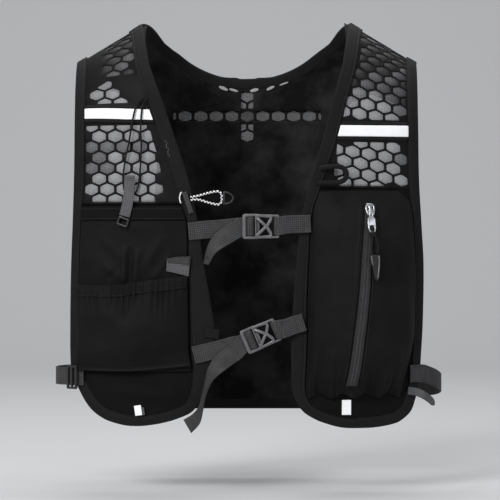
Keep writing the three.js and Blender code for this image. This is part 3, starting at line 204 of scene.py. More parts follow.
# the back: share down, inner edge, the outer end's own share down, outer edge
backEdges = np.array([(0, 0.62, 0.095, 1), (0.03, 0.51, 0.104, 1), (0.055, 0.43, 0.114, 0.998),
                      (0.08, 0.35, 0.125, 0.99), (0.1, 0.26, 0.135, 0.965), (0.115, 0.15, 0.143, 0.92),
                      (0.12, 0.04, 0.149, 0.86), (0.152, 0.04, 0.162, 0.77), (0.172, 0.04, 0.178, 0.66),
                      (0.203, 0.04, 0.203, 0.575), (0.231, 0.04, 0.231, 0.555), (0.2875, 0.04, 0.2875, 0.55),
                      (0.4, 0.04, 0.4, 0.56), (0.55, 0.04, 0.55, 0.6), (0.7, 0.04, 0.7, 0.67),
                      (0.85, 0.04, 0.85, 0.72), (0.93, 0.04, 0.93, 0.71), (0.965, 0.04, 0.965, 0.675),
                      (0.985, 0.04, 0.985, 0.6)])
bindingWide = np.array([(0, 0.86, 0.9), (0.1, 0.93, 0.9), (0.2, 0.96, 0.88), (0.3, 0.93, 0.88),
                        (0.4, 0.9, 0.8), (0.46, 0.8, 0.62), (0.5, 0.66, 0.66), (0.6, 1.03, 0.79),
                        (0.7, 1.5, 0.93), (0.77, 1.75, 1.07), (0.82, 1.65, 1.1), (0.87, 1.2, 1),
                        (0.92, 0.9, 0.86), (0.96, 0.71, 0.71), (1.01, 0.64, 0.64)])


def edgeX(edges, column, down, hand=1):
    return hand * half * tableAt(edges[:, 0], edges[:, column], down)


def lengthOf(spots):
    return np.linalg.norm(np.diff(spots, axis=0), axis=1).sum()


def runAlong(spots):
    # how far along the line each spot lies
    return np.concatenate([[0], np.cumsum(np.linalg.norm(np.diff(spots, axis=0), axis=1))])


def unitWays(spots):
    way = np.gradient(spots, axis=0)
    return way / np.linalg.norm(way, axis=1, keepdims=True)


def splineThrough(spots, pieces):
    # evenly spaced spots on a smooth line through the given ones
    spots = np.asarray(spots, float)
    padded = np.vstack([2 * spots[0] - spots[1], spots, 2 * spots[-1] - spots[-2]])
    fine = []
    for i in range(len(spots) - 1):
        p0, p1, p2, p3 = padded[i:i + 4]
        t = np.linspace(0, 1, 24, endpoint=False)[:, None]
        fine.append(0.5 * (2 * p1 + (p2 - p0) * t + (2 * p0 - 5 * p1 + 4 * p2 - p3) * t ** 2
                           + (3 * p1 - p0 - 3 * p2 + p3) * t ** 3))
    fine = np.vstack(fine + [spots[-1:]])
    run = runAlong(fine)
    at = np.linspace(0, run[-1], pieces + 1)
    return np.stack([np.interp(at, run, fine[:, k]) for k in range(fine.shape[1])], -1)


def edgeLine(edges, column, hand, pieces, downColumn=0, to=2.0):
    rows = edges[edges[:, 0] <= to]
    x = hand * half * rows[:, column]
    return splineThrough(np.stack([x, unroll(x, -rows[:, downColumn] * long)], -1), pieces)



def setInputs(tree, node, inputs):
    # a socket is linked, and anything else is set as the value
    for key, value in inputs.items():
        if isinstance(value, bpy.types.NodeSocket):
            tree.links.new(value, node.inputs[key])
        else:
            node.inputs[key].default_value = value


def addNode(tree, kind, inputs=None, **settings):
    node = tree.nodes.new("ShaderNode" + kind)
    for key, value in settings.items():
        setattr(node, key, value)
    setInputs(tree, node, inputs or {})
    return node


def startMaterial(name):
    material = bpy.data.materials.new(name)
    material.use_nodes = True
    return material, material.node_tree, material.node_tree.nodes["Principled BSDF"]


def wovenCloth(name, facts):
    # A plain weave: threads cross at their spacing, which breaks up the gloss. Faint cloudy
    # patches of tone vary at random; where a cloth's range of tone is wide they are painted light and shade
    # on its wrinkles. Drawn coarser than the real thread, which wouldn't show.
    material, tree, shader = startMaterial(name)
    spot = addNode(tree, "UVMap", uv_map="clothMap").outputs[0]
    threads = {"Vector": spot, "Scale": 1 / facts["thread"] * facts["coarser"] / 3.14,
               "Distortion": 0.6, "Detail": 1.0}
    warp, weft = [addNode(tree, "TexWave", threads, wave_type="BANDS",
                          bands_direction=way).outputs["Fac"] for way in "XY"]
    weave = addNode(tree, "Math", {0: warp, 1: weft}, operation="MULTIPLY").outputs[0]
    patch = addNode(tree, "TexNoise", {"Vector": spot, "Scale": 1 / facts["patch"],
                                                "Detail": 4.0, "Roughness": 0.6}).outputs["Fac"]
    fibre = addNode(tree, "TexNoise", {"Vector": spot, "Scale": 2.2, "Detail": 2.0})
    tone = addNode(tree, "Math", {0: patch, 1: 0.7}, operation="MULTIPLY")
    tone = addNode(tree, "Math", {0: weave, 1: facts.get("woven", 0.3), 2: tone.outputs[0]},
                   operation="MULTIPLY_ADD")
    spread = addNode(tree, "MapRange", {
        "Value": tone.outputs[0], "From Min": facts.get("from", 0.3), "From Max": facts.get("to", 0.56)})
    colour = addNode(tree, "Mix", {
        0: spread.outputs[0], "A": linear(facts["dark"]), "B": linear(facts["light"])}, data_type="RGBA")
    rough = addNode(tree, "MapRange", {
        "Value": patch, "To Min": facts["rough"] - 0.06, "To Max": facts["rough"] + 0.06})
    relief = addNode(tree, "Math", {0: fibre.outputs["Fac"], 1: 0.4, 2: weave},
                     operation="MULTIPLY_ADD")
    bump = addNode(tree, "Bump", {"Height": relief.outputs[0], "Strength": facts["bump"],
                                           "Distance": 0.0002})
    setInputs(tree, shader, {
        "Base Color": colour.outputs["Result"], "Roughness": rough.outputs[0],
        "Normal": bump.outputs[0], "Sheen Weight": facts["sheen"], "Sheen Roughness": 0.5,
        "Sheen Tint": linear("#c9ccd2"), "Specular IOR Level": 0.12})
    return material


def tapeWeave(name, facts):
    # Narrow woven tape: cross ribs at their pitch, with the rounder lengthwise cords of webbing
    # where they are asked for. The ribs catch the light as fine rungs.
    material, tree, shader = startMaterial(name)
    spot = addNode(tree, "UVMap", uv_map="clothMap").outputs[0]
    across, along = [
        addNode(tree, "TexWave", {"Vector": spot, "Scale": 1 / pitch / 3.14,
                                           "Distortion": uneven, "Detail": 1.0},
                wave_type="BANDS", bands_direction=way).outputs["Fac"]
        for pitch, uneven, way in ((facts["rib"], 0.5, "Y"), (facts["cord"], 0.3, "X"))]
    weave = addNode(tree, "Math", {0: across, 1: along}, operation="MULTIPLY").outputs[0]
    patch = addNode(tree, "TexNoise", {"Vector": spot, "Scale": 0.08, "Detail": 3.0})
    fuzz = addNode(tree, "TexNoise", {"Vector": spot, "Scale": 3.0, "Detail": 2.0})
    tone = addNode(tree, "Math", {0: weave, 1: 0.55, 2: 0.1}, operation="MULTIPLY_ADD")
    tone = addNode(tree, "Math", {0: patch.outputs["Fac"], 1: 0.45, 2: tone.outputs[0]},
                   operation="MULTIPLY_ADD")
    colour = addNode(tree, "Mix", {
        0: tone.outputs[0], "A": linear(facts["dark"]), "B": linear(facts["light"])}, data_type="RGBA")
    height = addNode(tree, "Math", {0: fuzz.outputs["Fac"], 1: 0.3, 2: weave},
                     operation="MULTIPLY_ADD")
    bump = addNode(tree, "Bump", {"Height": height.outputs[0], "Strength": facts["bump"],
                                           "Distance": 0.0003})
    setInputs(tree, shader, {
        "Base Color": colour.outputs["Result"], "Roughness": facts["rough"], "Normal": bump.outputs[0],
        "Sheen Weight": facts["sheen"], "Sheen Roughness": 0.5, "Specular IOR Level": 0.15})
    return material


def sheerMesh(name, facts):
    # Fine knitted mesh: pinholes between the yarns let the light through, so it reads as grey
    # over a pale ground and as black over cloth. Drawn at 1.6 mm, as finer wouldn't show.
    material, tree, shader = startMaterial(name)
    spot = addNode(tree, "UVMap", uv_map="clothMap").outputs[0]
    holes = addNode(tree, "TexVoronoi", {"Vector": spot, "Scale": 1 / facts["pitch"],
                                                  "Randomness": 0.15})
    cover = addNode(tree, "MapRange", {
        "Value": holes.outputs["Distance"], "From Min": 0.22, "From Max": 0.5,
        "To Min": facts["clear"], "To Max": facts["solid"]})
    patch = addNode(tree, "TexNoise", {"Vector": spot, "Scale": 0.05, "Detail": 2.0})
    colour = addNode(tree, "Mix", {
        0: patch.outputs["Fac"], "A": linear(facts["dark"]), "B": linear(facts["light"])}, data_type="RGBA")
    setInputs(tree, shader, {"Base Color": colour.outputs["Result"], "Alpha": cover.outputs[0],
                             "Roughness": 0.6, "Specular IOR Level": 0.3})
    return material


def mouldedPlastic(name, facts):
    # Injection-moulded ABS or acetal: a fine spark texture from the mould dulls the gloss, and
    # soft cloudy patches vary its tone and roughness a little.
    material, tree, shader = startMaterial(name)
    spot = addNode(tree, "TexCoord").outputs["Object"]
    grain = addNode(tree, "TexNoise", {"Vector": spot, "Scale": 2600.0, "Detail": 2.0})
    cloud = addNode(tree, "TexNoise", {"Vector": spot, "Scale": 120.0, "Detail": 2.0})
    colour = addNode(tree, "Mix", {
        0: cloud.outputs["Fac"], "A": linear(facts["dark"]), "B": linear(facts["light"])}, data_type="RGBA")
    rough = addNode(tree, "MapRange", {
        "Value": cloud.outputs["Fac"], "To Min": facts["rough"] - 0.05, "To Max": facts["rough"] + 0.05})
    bump = addNode(tree, "Bump", {"Height": grain.outputs["Fac"], "Strength": 0.25,
                                           "Distance": 0.0001})
    setInputs(tree, shader, {"Base Color": colour.outputs["Result"], "Roughness": rough.outputs[0],
                             "Normal": bump.outputs[0], "IOR": 1.53})
    return material


def castMetal(name, facts):
    # Die-cast zinc with a bright plated finish: soft scratches run along it.
    material, tree, shader = startMaterial(name)
    spot = addNode(tree, "TexCoord").outputs["Object"]
    drawn = addNode(tree, "Mapping", {"Vector": spot, "Scale": (2400, 2400, 160)})
    brush = addNode(tree, "TexNoise", {"Vector": drawn.outputs[0], "Scale": 1.0,
                                                "Detail": 3.0}).outputs["Fac"]
    colour = addNode(tree, "Mix", {
        0: brush, "A": linear(facts["dark"]), "B": linear(facts["light"])}, data_type="RGBA")
    rough = addNode(tree, "MapRange", {"Value": brush, "To Min": 0.22, "To Max": 0.4})
    bump = addNode(tree, "Bump", {"Height": brush, "Strength": 0.1, "Distance": 0.0001})
    setInputs(tree, shader, {"Base Color": colour.outputs["Result"], "Roughness": rough.outputs[0],
                             "Metallic": 1.0, "Normal": bump.outputs[0]})
    return material


def beadedTape(name, facts):
    # Retroreflective tape: glass beads under a clear film give an even, bright silver-white
    # that is very slightly mottled.
    material, tree, shader = startMaterial(name)
    spot = addNode(tree, "UVMap", uv_map="clothMap").outputs[0]
    beads = addNode(tree, "TexNoise", {"Vector": spot, "Scale": 4.0, "Detail": 2.0})
    patch = addNode(tree, "TexNoise", {"Vector": spot, "Scale": 0.12, "Detail": 3.0})
    tone = addNode(tree, "Math", {0: beads.outputs["Fac"], 1: patch.outputs["Fac"]},
                   operation="MULTIPLY")
    colour = addNode(tree, "Mix", {
        0: tone.outputs[0], "A": linear(facts["light"]), "B": linear(facts["dark"])}, data_type="RGBA")
    bump = addNode(tree, "Bump", {"Height": beads.outputs["Fac"], "Strength": 0.15,
                                           "Distance": 0.0001})
    setInputs(tree, shader, {"Base Color": colour.outputs["Result"], "Roughness": 0.42,
                             "Normal": bump.outputs[0]})
    return material


def braidedChecks(name, facts):
    # Braided cord with bright reflective yarns among black ones: small checks that wind round it.
    material, tree, shader = startMaterial(name)
    spot = addNode(tree, "UVMap", uv_map="clothMap").outputs[0]
    sized = addNode(tree, "Mapping", {
        "Vector": spot, "Scale": (1 / facts["round"], 1 / facts["pitch"], 1)})
    checks = addNode(tree, "TexChecker", {
        "Vector": sized.outputs[0], "Scale": 1.0, "Color1": linear(facts["dark"]),
        "Color2": linear(facts["light"])})
    setInputs(tree, shader, {"Base Color": checks.outputs["Color"], "Roughness": 0.55})
    return material


nylonShell = wovenCloth("nylonShellCloth", {"dark": "#030303", "light": "#090909", "thread": 0.5,
                                            "coarser": 0.45, "patch": 60, "rough": 0.78, "bump": 0.25,
                                            "sheen": 0.02})
softShell = wovenCloth("stretchPocketCloth", {"dark": "#050505", "light": "#111112", "thread": 0.5,
                                              "coarser": 0.45, "patch": 45, "rough": 0.7, "bump": 0.25,
                                              "sheen": 0.03})
# the back lining's wide, cloudy range of tone is painted light and shade for its lit wrinkles
backCloth = wovenCloth("backLiningCloth", {"dark": "#030303", "light": "#252526", "thread": 0.6,
                                           "coarser": 0.45, "patch": 46, "rough": 0.8, "bump": 0.3,
                                           "sheen": 0.02, "woven": 0.03, "from": 0.29, "to": 0.47})
bindingTape = tapeWeave("foldedBindingTape", {"dark": "#060606", "light": "#19191a", "rib": 0.9, "cord": 1.6,
                                              "rough": 0.75, "bump": 0.5, "sheen": 0.02})
greyWebbing = tapeWeave("greyNylonWebbing", {"dark": "#0a0a0a", "light": "#505051", "rib": 2.1, "cord": 2.25,
                                             "rough": 0.68, "bump": 0.9, "sheen": 0.02})
paleWebbing = tapeWeave("paleElasticTab", {"dark": "#29292a", "light": "#6c6c6d", "rib": 1.8, "cord": 2.2,
                                           "rough": 0.7, "bump": 0.7, "sheen": 0.03})
netRibs = wovenCloth("raisedNetRibs", {"dark": "#050505", "light": "#0e0e0f", "thread": 0.4, "coarser": 0.5,
                                       "patch": 30, "rough": 0.6, "bump": 0.15, "sheen": 0.01})
fineMesh = sheerMesh("fineKnittedMesh", {"pitch": 1.6, "clear": 0.35, "solid": 0.8, "dark": "#6f6f71",
                                         "light": "#9a9a9c"})
# a darker copy of the fine mesh: darker where a fold of mesh lies behind front cells, and painted shade on
# the back's cross
foldAndShadeMesh = sheerMesh("foldedAndShadedMesh", {"pitch": 1.6, "clear": 0.5, "solid": 0.85, "dark": "#3f3f40",
                                    "light": "#676769"})
# a darker copy of the fine mesh: painted shade for the mesh on the back's inside
shadedCrossMesh = sheerMesh("shadedCrossingMesh", {"pitch": 1.6, "clear": 0.6, "solid": 0.92, "dark": "#2c2c2d",
                                       "light": "#565657"})
# a paler copy of the fine mesh: a painted highlight
highlitSlitMesh = sheerMesh("highlitSlitMesh", {"pitch": 1.6, "clear": 0.7, "solid": 1.0, "dark": "#7f7f80",
                                  "light": "#b5b5b6"})
dimMesh = sheerMesh("liningBackedMesh", {"pitch": 1.6, "clear": 0.6, "solid": 0.95, "dark": "#1a1a1b",
                                         "light": "#3b3b3c"})
reflectiveTape = beadedTape("reflectiveTape", {"dark": "#d7d8da", "light": "#f7f7f8"})
blackThread = mouldedPlastic("polyesterThread", {"dark": "#0b0b0b", "light": "#1b1b1c", "rough": 0.6})
greyThread = mouldedPlastic("greyPolyesterThread", {"dark": "#0c0c0c", "light": "#1e1e1f", "rough": 0.6})
paleThread = mouldedPlastic("barTackThread", {"dark": "#6a6a6b", "light": "#8a8a8b", "rough": 0.6})
matteRubber = mouldedPlastic("softPvcGrip", {"dark": "#050505", "light": "#111112", "rough": 0.75})
blackAcetal = mouldedPlastic("mouldedAcetal", {"dark": "#101011", "light": "#222223", "rough": 0.36})
greyAcetal = mouldedPlastic("greyMouldedAcetal", {"dark": "#434344", "light": "#6a6a6c", "rough": 0.34})
blackCord = tapeWeave("braidedElasticCord", {"dark": "#080808", "light": "#1f1f20", "rib": 0.8, "cord": 0.8,
                                             "rough": 0.6, "bump": 0.8, "sheen": 0.02})
zipTeeth = mouldedPlastic("nylonZipCoil", {"dark": "#1c1c1d", "light": "#3a3a3b", "rough": 0.42})
platedZinc = castMetal("platedZinc", {"dark": "#8f9194", "light": "#d9dadc"})
fleckedCord = braidedChecks("reflectiveBraidedCord", {"dark": "#141416", "light": "#e9e9ea", "round": 3.45,
                                                      "pitch": 1.7})
print("materials made")

pieces = []
cut = {}  # the cloth pieces, with the width and length each was cut to
blackRows, greyRows = [], []  # the rows that are stitched in black and in grey


def meshPiece(name, verts, faces, uvs, material, nodes):
    # verts in mm; uvs, in mm too, one per vertex
    mesh = bpy.data.meshes.new(name)
    mesh.from_pydata([tuple(v) for v in (np.asarray(verts) / 1000).tolist()], [], [tuple(f) for f in faces])
    mesh.validate()
    layer = mesh.uv_layers.new(name="clothMap")
    loops = np.empty(len(mesh.loops), int)
    mesh.loops.foreach_get("vertex_index", loops)
    layer.data.foreach_set("uv", np.asarray(uvs, np.float32)[loops].ravel())
    mesh.polygons.foreach_set("use_smooth", [True] * len(mesh.polygons))
    mesh.materials.append(material)
    piece = bpy.data.objects.new(name, mesh)
    scene.collection.objects.link(piece)
    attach(piece, "root")
    if nodes:
        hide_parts(nodes)
    pieces.append(piece)
    return piece


def normalsOf(grid):
    across = np.gradient(grid, axis=1)
    along = np.gradient(grid, axis=0)
    normal = np.cross(across, along)
    length = np.linalg.norm(normal, axis=-1, keepdims=True)
    return normal / np.maximum(length, 1e-9)


roundEdge = 0.45  # how far a cut edge bulges, as a share of the cloth


def shell(grid, wall, outWay, uv, keep=None):
    # a closed sheet: grid is its outer face, and its rim is rounded
    rows, columns = grid.shape[:2]
    normal = normalsOf(grid)
    if np.mean(np.sum(normal * outWay, -1)) < 0:
        normal = -normal
    inner = grid - normal * wall
    count = rows * columns
    keep = np.ones((rows - 1, columns - 1), bool) if keep is None else keep
    at = lambda i, j: i * columns + j
    verts = np.vstack([grid.reshape(-1, 3), inner.reshape(-1, 3)])
    uvs = np.vstack([uv.reshape(-1, 2)] * 2)
    faces, rim = [], []
    there = np.pad(keep, 1)
    for i, j in np.argwhere(keep):
        a, b, c, d = at(i, j), at(i, j + 1), at(i + 1, j + 1), at(i + 1, j)
        faces += [(a, b, c, d), (d + count, c + count, b + count, a + count)]
        if not there[i, j + 1]:
            rim.append((b, a))
        if not there[i + 1, j + 2]:
            rim.append((c, b))
        if not there[i + 2, j + 1]:
            rim.append((d, c))
        if not there[i + 1, j]:
            rim.append((a, d))
    # the rim's middle line stands out a little, so the cut edge looks rounded
    middle, out = {}, {}
    for a, b in rim:
        way = verts[a] - verts[b]
        side = np.cross(way, verts[a] - verts[a + count])
        size = np.linalg.norm(side)
        side = side / size if size > 1e-9 else side
        for k in (a, b):
            out.setdefault(k, []).append(side)
    extra, extraUv = [], []
    for k, ways in out.items():
        way = np.mean(ways, axis=0)
        size = np.linalg.norm(way)
        middle[k] = 2 * count + len(extra)
        centre = (verts[k] + verts[k + count]) / 2
        extra.append(centre + (way / size if size > 1e-9 else way) * wall * roundEdge)
        extraUv.append(uvs[k])
    for a, b in rim:
        faces += [(a, b, middle[b], middle[a]), (middle[a], middle[b], b + count, a + count)]
    verts = np.vstack([verts, np.array(extra)])
    uvs = np.vstack([uvs, np.array(extraUv)])
    used = np.unique(np.concatenate([np.asarray(f) for f in faces]))
    remap = np.full(len(verts), -1)
    remap[used] = np.arange(len(used))
    return verts[used], [tuple(remap[list(f)]) for f in faces], uvs[used]


def sheetPiece(name, x, d, lift, wall, material, nodes, side=-1, uv=None, keep=None, place=None):
    # a sheet on the body: x, d and lift are grids, and lift is the height of its inner face
    grid = (place or (lambda a, b, c: skin(a, b, side, c)))(x, d, lift + wall)
    uv = np.stack([x + 0 * d, d + 0 * x], -1) if uv is None else uv
    verts, faces, uvs = shell(grid, wall, np.array([0, side, 0.0]), uv, keep)
    wide = float(max(lengthOf(row) for row in grid))
    tall = float(max(lengthOf(grid[:, grid.shape[1] // 2]), d.max() - d.min()))
    piece = meshPiece(name, verts, faces, uvs, material, nodes)
    cut[name] = (piece, [wide / 1000, tall / 1000])
    return piece


def loopMesh(rings, uvRound, uvAlong):
    # a tube through rings of points, (stations, sides, 3), in one closed skin
    stations, sides = rings.shape[:2]
    verts = rings.reshape(-1, 3)
    uvs = np.stack(np.broadcast_arrays(uvRound[None, :], uvAlong[:, None]), -1).reshape(-1, 2)
    faces = []
    for i in range(stations - 1):
        for j in range(sides):
            k = (j + 1) % sides
            faces.append((i * sides + j, i * sides + k, (i + 1) * sides + k, (i + 1) * sides + j))
    for i, turn in ((0, 1), (stations - 1, -1)):
        centre = len(verts)
        verts = np.vstack([verts, rings[i].mean(0)])
        uvs = np.vstack([uvs, uvs[i * sides]])
        for j in range(sides):
            k = (j + 1) % sides
            faces.append((i * sides + k, i * sides + j, centre)[::turn])
    return verts, faces, uvs


def sidesAlong(path):
    # two directions square to a path, carried along it without twisting
    tangent = unitWays(path)
    up = np.zeros_like(tangent)
    start = np.array([0.0, 0, 1]) if abs(tangent[0][2]) < 0.8 else np.array([0.0, -1, 0])
    last = np.cross(np.cross(tangent[0], start), tangent[0])
    for i, t in enumerate(tangent):
        last = last - t * last.dot(t)
        last /= np.linalg.norm(last)
        up[i] = last
    return up, np.cross(tangent, up)


def tubePiece(name, route, radius, material, nodes, spacing=0.8, sides=12, braid=0.0):
    # a cord along a route, with rounded ends; braid is the depth of its crossing yarns
    route = np.asarray(route, float)
    path = splineThrough(route, max(12, int(lengthOf(route) / spacing)))
    up, right = sidesAlong(path)
    length = runAlong(path)
    angle = np.arange(sides) / sides * 2 * math.pi
    wave = 1 + braid * np.sin(angle[None, :] * 2 + length[:, None] / radius * 1.6) * np.sin(
        angle[None, :] * 2 - length[:, None] / radius * 1.6)
    taper = np.sqrt(np.clip(1 - (np.clip(1 - np.minimum(length, length[-1] - length) / radius, 0, 1)) ** 2,
                            0.05, 1))
    size = radius * wave * taper[:, None]
    rings = (path[:, None] + up[:, None] * (np.sin(angle) * size)[..., None]
             + right[:, None] * (np.cos(angle) * size)[..., None])
    verts, faces, uvs = loopMesh(rings, angle * radius, length)
    return meshPiece(name, verts, faces, uvs, material, nodes), path


def stitchMesh(name, rows, material, radius=0.28, length=2.3, step=3.3, sink=0.0):
    # rows of (points, outward ways): each stitch is a thin bead lying along its row
    verts, faces = [], []
    for points, outs in rows:
        points, outs = np.asarray(points, float), np.asarray(outs, float)
        run = runAlong(points)
        for at in np.arange(step / 2, run[-1] - length / 2, step):
            spots = [np.array([np.interp(at + e, run, points[:, k]) for k in range(3)])
                     for e in (-length / 2, 0, length / 2)]
            out = np.array([np.interp(at, run, outs[:, k]) for k in range(3)])
            out /= np.linalg.norm(out)
            way = spots[2] - spots[0]
            way /= np.linalg.norm(way)
            side = np.cross(way, out)
            base = len(verts)
            verts.append(spots[0] - out * sink)
            for e in (0.28, 0.72):
                middle = mix(spots[0], spots[2], e) + out * (radius * 0.35 - sink)
                for a in range(6):
                    turn = a / 6 * 2 * math.pi
                    verts.append(middle + side * math.cos(turn) * radius + out * math.sin(turn) * radius)
            verts.append(spots[2] - out * sink)
            for a in range(6):
                b = (a + 1) % 6
                faces += [(base, base + 1 + b, base + 1 + a),
                          (base + 1 + a, base + 1 + b, base + 7 + b, base + 7 + a),
                          (base + 13, base + 7 + a, base + 7 + b)]
    verts = np.array(verts)
    return meshPiece(name, verts, faces, verts[:, [0, 2]], material, None)


def bandAcross(path):
    way = unitWays(path)
    return np.stack([-way[:, 1], way[:, 0]], -1)


# the tape's height off the body, how far it laps behind the edge, and how deep it puckers
binding = {"low": -0.4, "high": 3.2, "wrap": 0.7, "pucker": 0.16, "puckerRun": 2.9, "stitchAt": 0.82}


def bindingPiece(name, path, width, turn, nodes, side=-1, seed=1):
    # a tape folded round a panel's edge: a flattened loop, puckered along its stitch line
    low, high, wrap = binding["low"], binding["high"], binding["wrap"]
    across = bandAcross(path) * turn
    width = np.broadcast_to(width, len(path))
    run = runAlong(path)
    # cross-section: share across, and height from 0 (back) to 1 (front)
    section = np.array([(-0.0, 0.5), (0.0, 0.8), (0.035, 0.96), (0.12, 1.0), (0.3, 0.99), (0.5, 0.985),
                        (0.68, 0.98), (0.78, 0.9), (0.82, 0.8), (0.86, 0.88), (0.92, 0.94), (0.975, 0.86),
                        (1.0, 0.5), (0.975, 0.12), (0.85, 0.03), (0.5, 0.0), (0.15, 0.0), (0.03, 0.12)])
    wave = 1 + binding["pucker"] * np.sin(run / binding["puckerRun"] + 1.5 * clouds(run, run * 0, 18, seed))
    rings, uvRound = [], []
    for share, height in section:
        offset = np.where(share <= 0, -wrap, mix(-wrap, width, share))
        flat = path + across * offset[:, None]
        waved = mix(low, high, height) + (high - low) * 0.22 * (wave - 1) * (height > 0.6) * smooth(
            share, 0.3, binding["stitchAt"])
        rings.append(skin(flat[:, 0], flat[:, 1], side, waved))
        uvRound.append(share * float(np.mean(width)) + (0 if height > 0.4 else 30))
    rings = np.stack(rings, 1)
    verts, faces, uvs = loopMesh(rings, np.array(uvRound), run)
    meshPiece(name, verts, faces, uvs, bindingTape, nodes)
    line = path + across * (width * binding["stitchAt"])[:, None]
    top = skin(line[:, 0], line[:, 1], side, mix(low, high, 0.84))
    over = skin(line[:, 0], line[:, 1], side, mix(low, high, 0.84) + 1)
    blackRows.append((top, over - top))


# the fronts
layerOne, layerTwo = 1.8, 3.6  # inner and outer face heights of the stacked cloth layers

fronts = {
    "left": {"hand": -1, "edges": leftEdges, "wideColumn": 1, "seam": 187, "carrier": 95.5, "slope": 2,
             "seed": 11},
    "right": {"hand": 1, "edges": rightEdges, "wideColumn": 2, "seam": 171, "carrier": 112.5, "slope": 0,
              "seed": 23},
}
net = {"pitch": 16.6, "rib": 2.6, "shortest": 0.6, "bow": 0.4, "highest": 11, "squash": 0.74, "wall": 1.15,
       "crest": 0.75, "meshFaces": (0.45, 0.15), "carrierHalf": 11, "seamGap": 3, "above": -22}
cloth = {"panelWall": 1.2, "pocketWall": 1.1, "liningWall": 0.7}
firstCell = {"left": {"lower": (-173.8, 107.1), "upper": (-176.6, -21.9), "slant": 0},
             "right": {"lower": (-176.5, 96), "upper": (-169.5, -28), "slant": 0.15}}
yokePeak = {"across": 0.776, "down": 0.1365, "toArm": 0.56, "toNeck": 1.8, "patch": (-0.845, -0.655)}
windowEdge = {
    "left": np.array([(0.063, 0.666), (0.118, 0.64), (0.173, 0.6), (0.213, 0.563), (0.277, 0.55),
                      (0.346, 0.504), (0.417, 0.478), (0.47, 0.478)]),
    "right": np.array([(0.067, 0.658), (0.118, 0.624), (0.201, 0.568), (0.255, 0.541), (0.307, 0.513),
                       (0.43, 0.484)]),
}


def bindingAt(name, down):
    # the front binding's width
    return 14 * tableAt(bindingWide[:, 0], bindingWide[:, fronts[name]["wideColumn"]], down)


def armWide(down):
    # the arm binding's width
    return mix(mix(9.5, 7.5, smooth(down, 0.4, 0.5)), 10, smooth(down, 0.86, 0.97))


def limitsOf(name):
    # where the cloth shows between the bindings: inner and outer x at a depth d
    edges = fronts[name]["edges"]

    def slant(column, down):
        run = edgeX(edges, column, down + 0.01) - edgeX(edges, column, down - 0.01)
        return np.hypot(1, run / (0.02 * long))

    def inner(d):
        down = np.maximum(0.02, np.asarray(d, float) / long)
        return edgeX(edges, 1, down) + bindingAt(name, down) * slant(1, down)

    def outer(d):
        down = np.maximum(0.02, np.asarray(d, float) / long)
        return edgeX(edges, 2, down) - armWide(down) * slant(2, down)

    return inner, outer


def clipRing(ring, inside):
    # the part of a ring where inside is positive
    kept = []
    for i, spot in enumerate(ring):
        last = ring[i - 1]
        here, there = inside(spot), inside(last)
        if here * there < 0:
            share = there / (there - here)
            kept.append((mix(last[0], spot[0], share), mix(last[1], spot[1], share)))
        if here >= 0:
            kept.append(spot)
    return kept


def hexCells(low, high, limits, first, slant=0, roof=None, smallest=42):
    # a net's cells as rings of spots, cut off at its borders; slivers are left out
    cells = []
    rowStep = net["pitch"] * math.sqrt(3) / 2 * net["squash"]
    radius = (net["pitch"] - net["rib"]) / math.sqrt(3)
    borders = [lambda s: s[1] - low - net["bow"] * (s[0] / half) ** 2,
               lambda s: high - s[1] - net["bow"] * (s[0] / half) ** 2,
               lambda s: s[0] - limits(s[1])[0], lambda s: limits(s[1])[1] - s[0]]
    if roof:
        borders.append(lambda s: s[1] - roof(s[0]))
    spare = math.ceil(half * slant / rowStep)
    for row in range(-spare, math.ceil((high - first[1]) / rowStep) + 1):
        for column in range(math.ceil(2 * half / net["pitch"]) + 1):
            middleX = first[0] + (column + (row % 2) / 2) * net["pitch"]
            middleD = first[1] + row * rowStep
            ring = [(middleX + math.cos(a) * radius,
                     middleD + math.sin(a) * radius * net["squash"]
                     + slant * (middleX + math.cos(a) * radius))
                    for a in (i * math.pi / 3 + math.pi / 6 for i in range(6))]
            for border in borders:
                ring = clipRing(ring, border)
                if len(ring) < 3:
                    break
            clean = [s for i, s in enumerate(ring) if math.dist(s, ring[i - 1]) > net["shortest"]]
            if len(clean) < 3:
                continue
            area = sum(clean[i - 1][0] * s[1] - s[0] * clean[i - 1][1] for i, s in enumerate(clean)) / 2
            if abs(area) > smallest:
                cells.append(clean if area > 0 else clean[::-1])
    return cells


def roundCorners(ring, radius=1.3, spacing=1.6):
    # a dense ring with rounded corners, from a convex one
    ring = np.asarray(ring, float)
    dense = []
    for i in range(len(ring)):
        a, b, c = ring[i - 1], ring[i], ring[(i + 1) % len(ring)]
        into, out = (b - a) / np.linalg.norm(b - a), (c - b) / np.linalg.norm(c - b)
        cut = min(radius, 0.4 * np.linalg.norm(b - a), 0.4 * np.linalg.norm(c - b))
        start, end = b - into * cut, b + out * cut
        for t in (0.0, 0.33, 0.67, 1.0):
            dense.append((1 - t) ** 2 * start + 2 * t * (1 - t) * b + t ** 2 * end)
        run = np.linalg.norm(c - b)
        nextCut = min(radius, 0.4 * run)
        steps = int((run - cut - nextCut) / spacing)
        for k in range(1, steps + 1):
            dense.append(mix(end, c - out * nextCut, k / (steps + 1)))
    return np.array(dense)


def softened(outline, radius):
    return [tuple(spot) for spot in roundCorners(np.array(outline, float), radius, 50)]


def widenRing(ring, by):
    # moves each spot of a ring outwards, away from the cell's middle side
    before, after = np.roll(ring, 1, 0), np.roll(ring, -1, 0)
    way = after - before
    way /= np.maximum(np.linalg.norm(way, axis=1, keepdims=True), 1e-9)
    return ring + np.stack([way[:, 1], -way[:, 0]], -1) * by


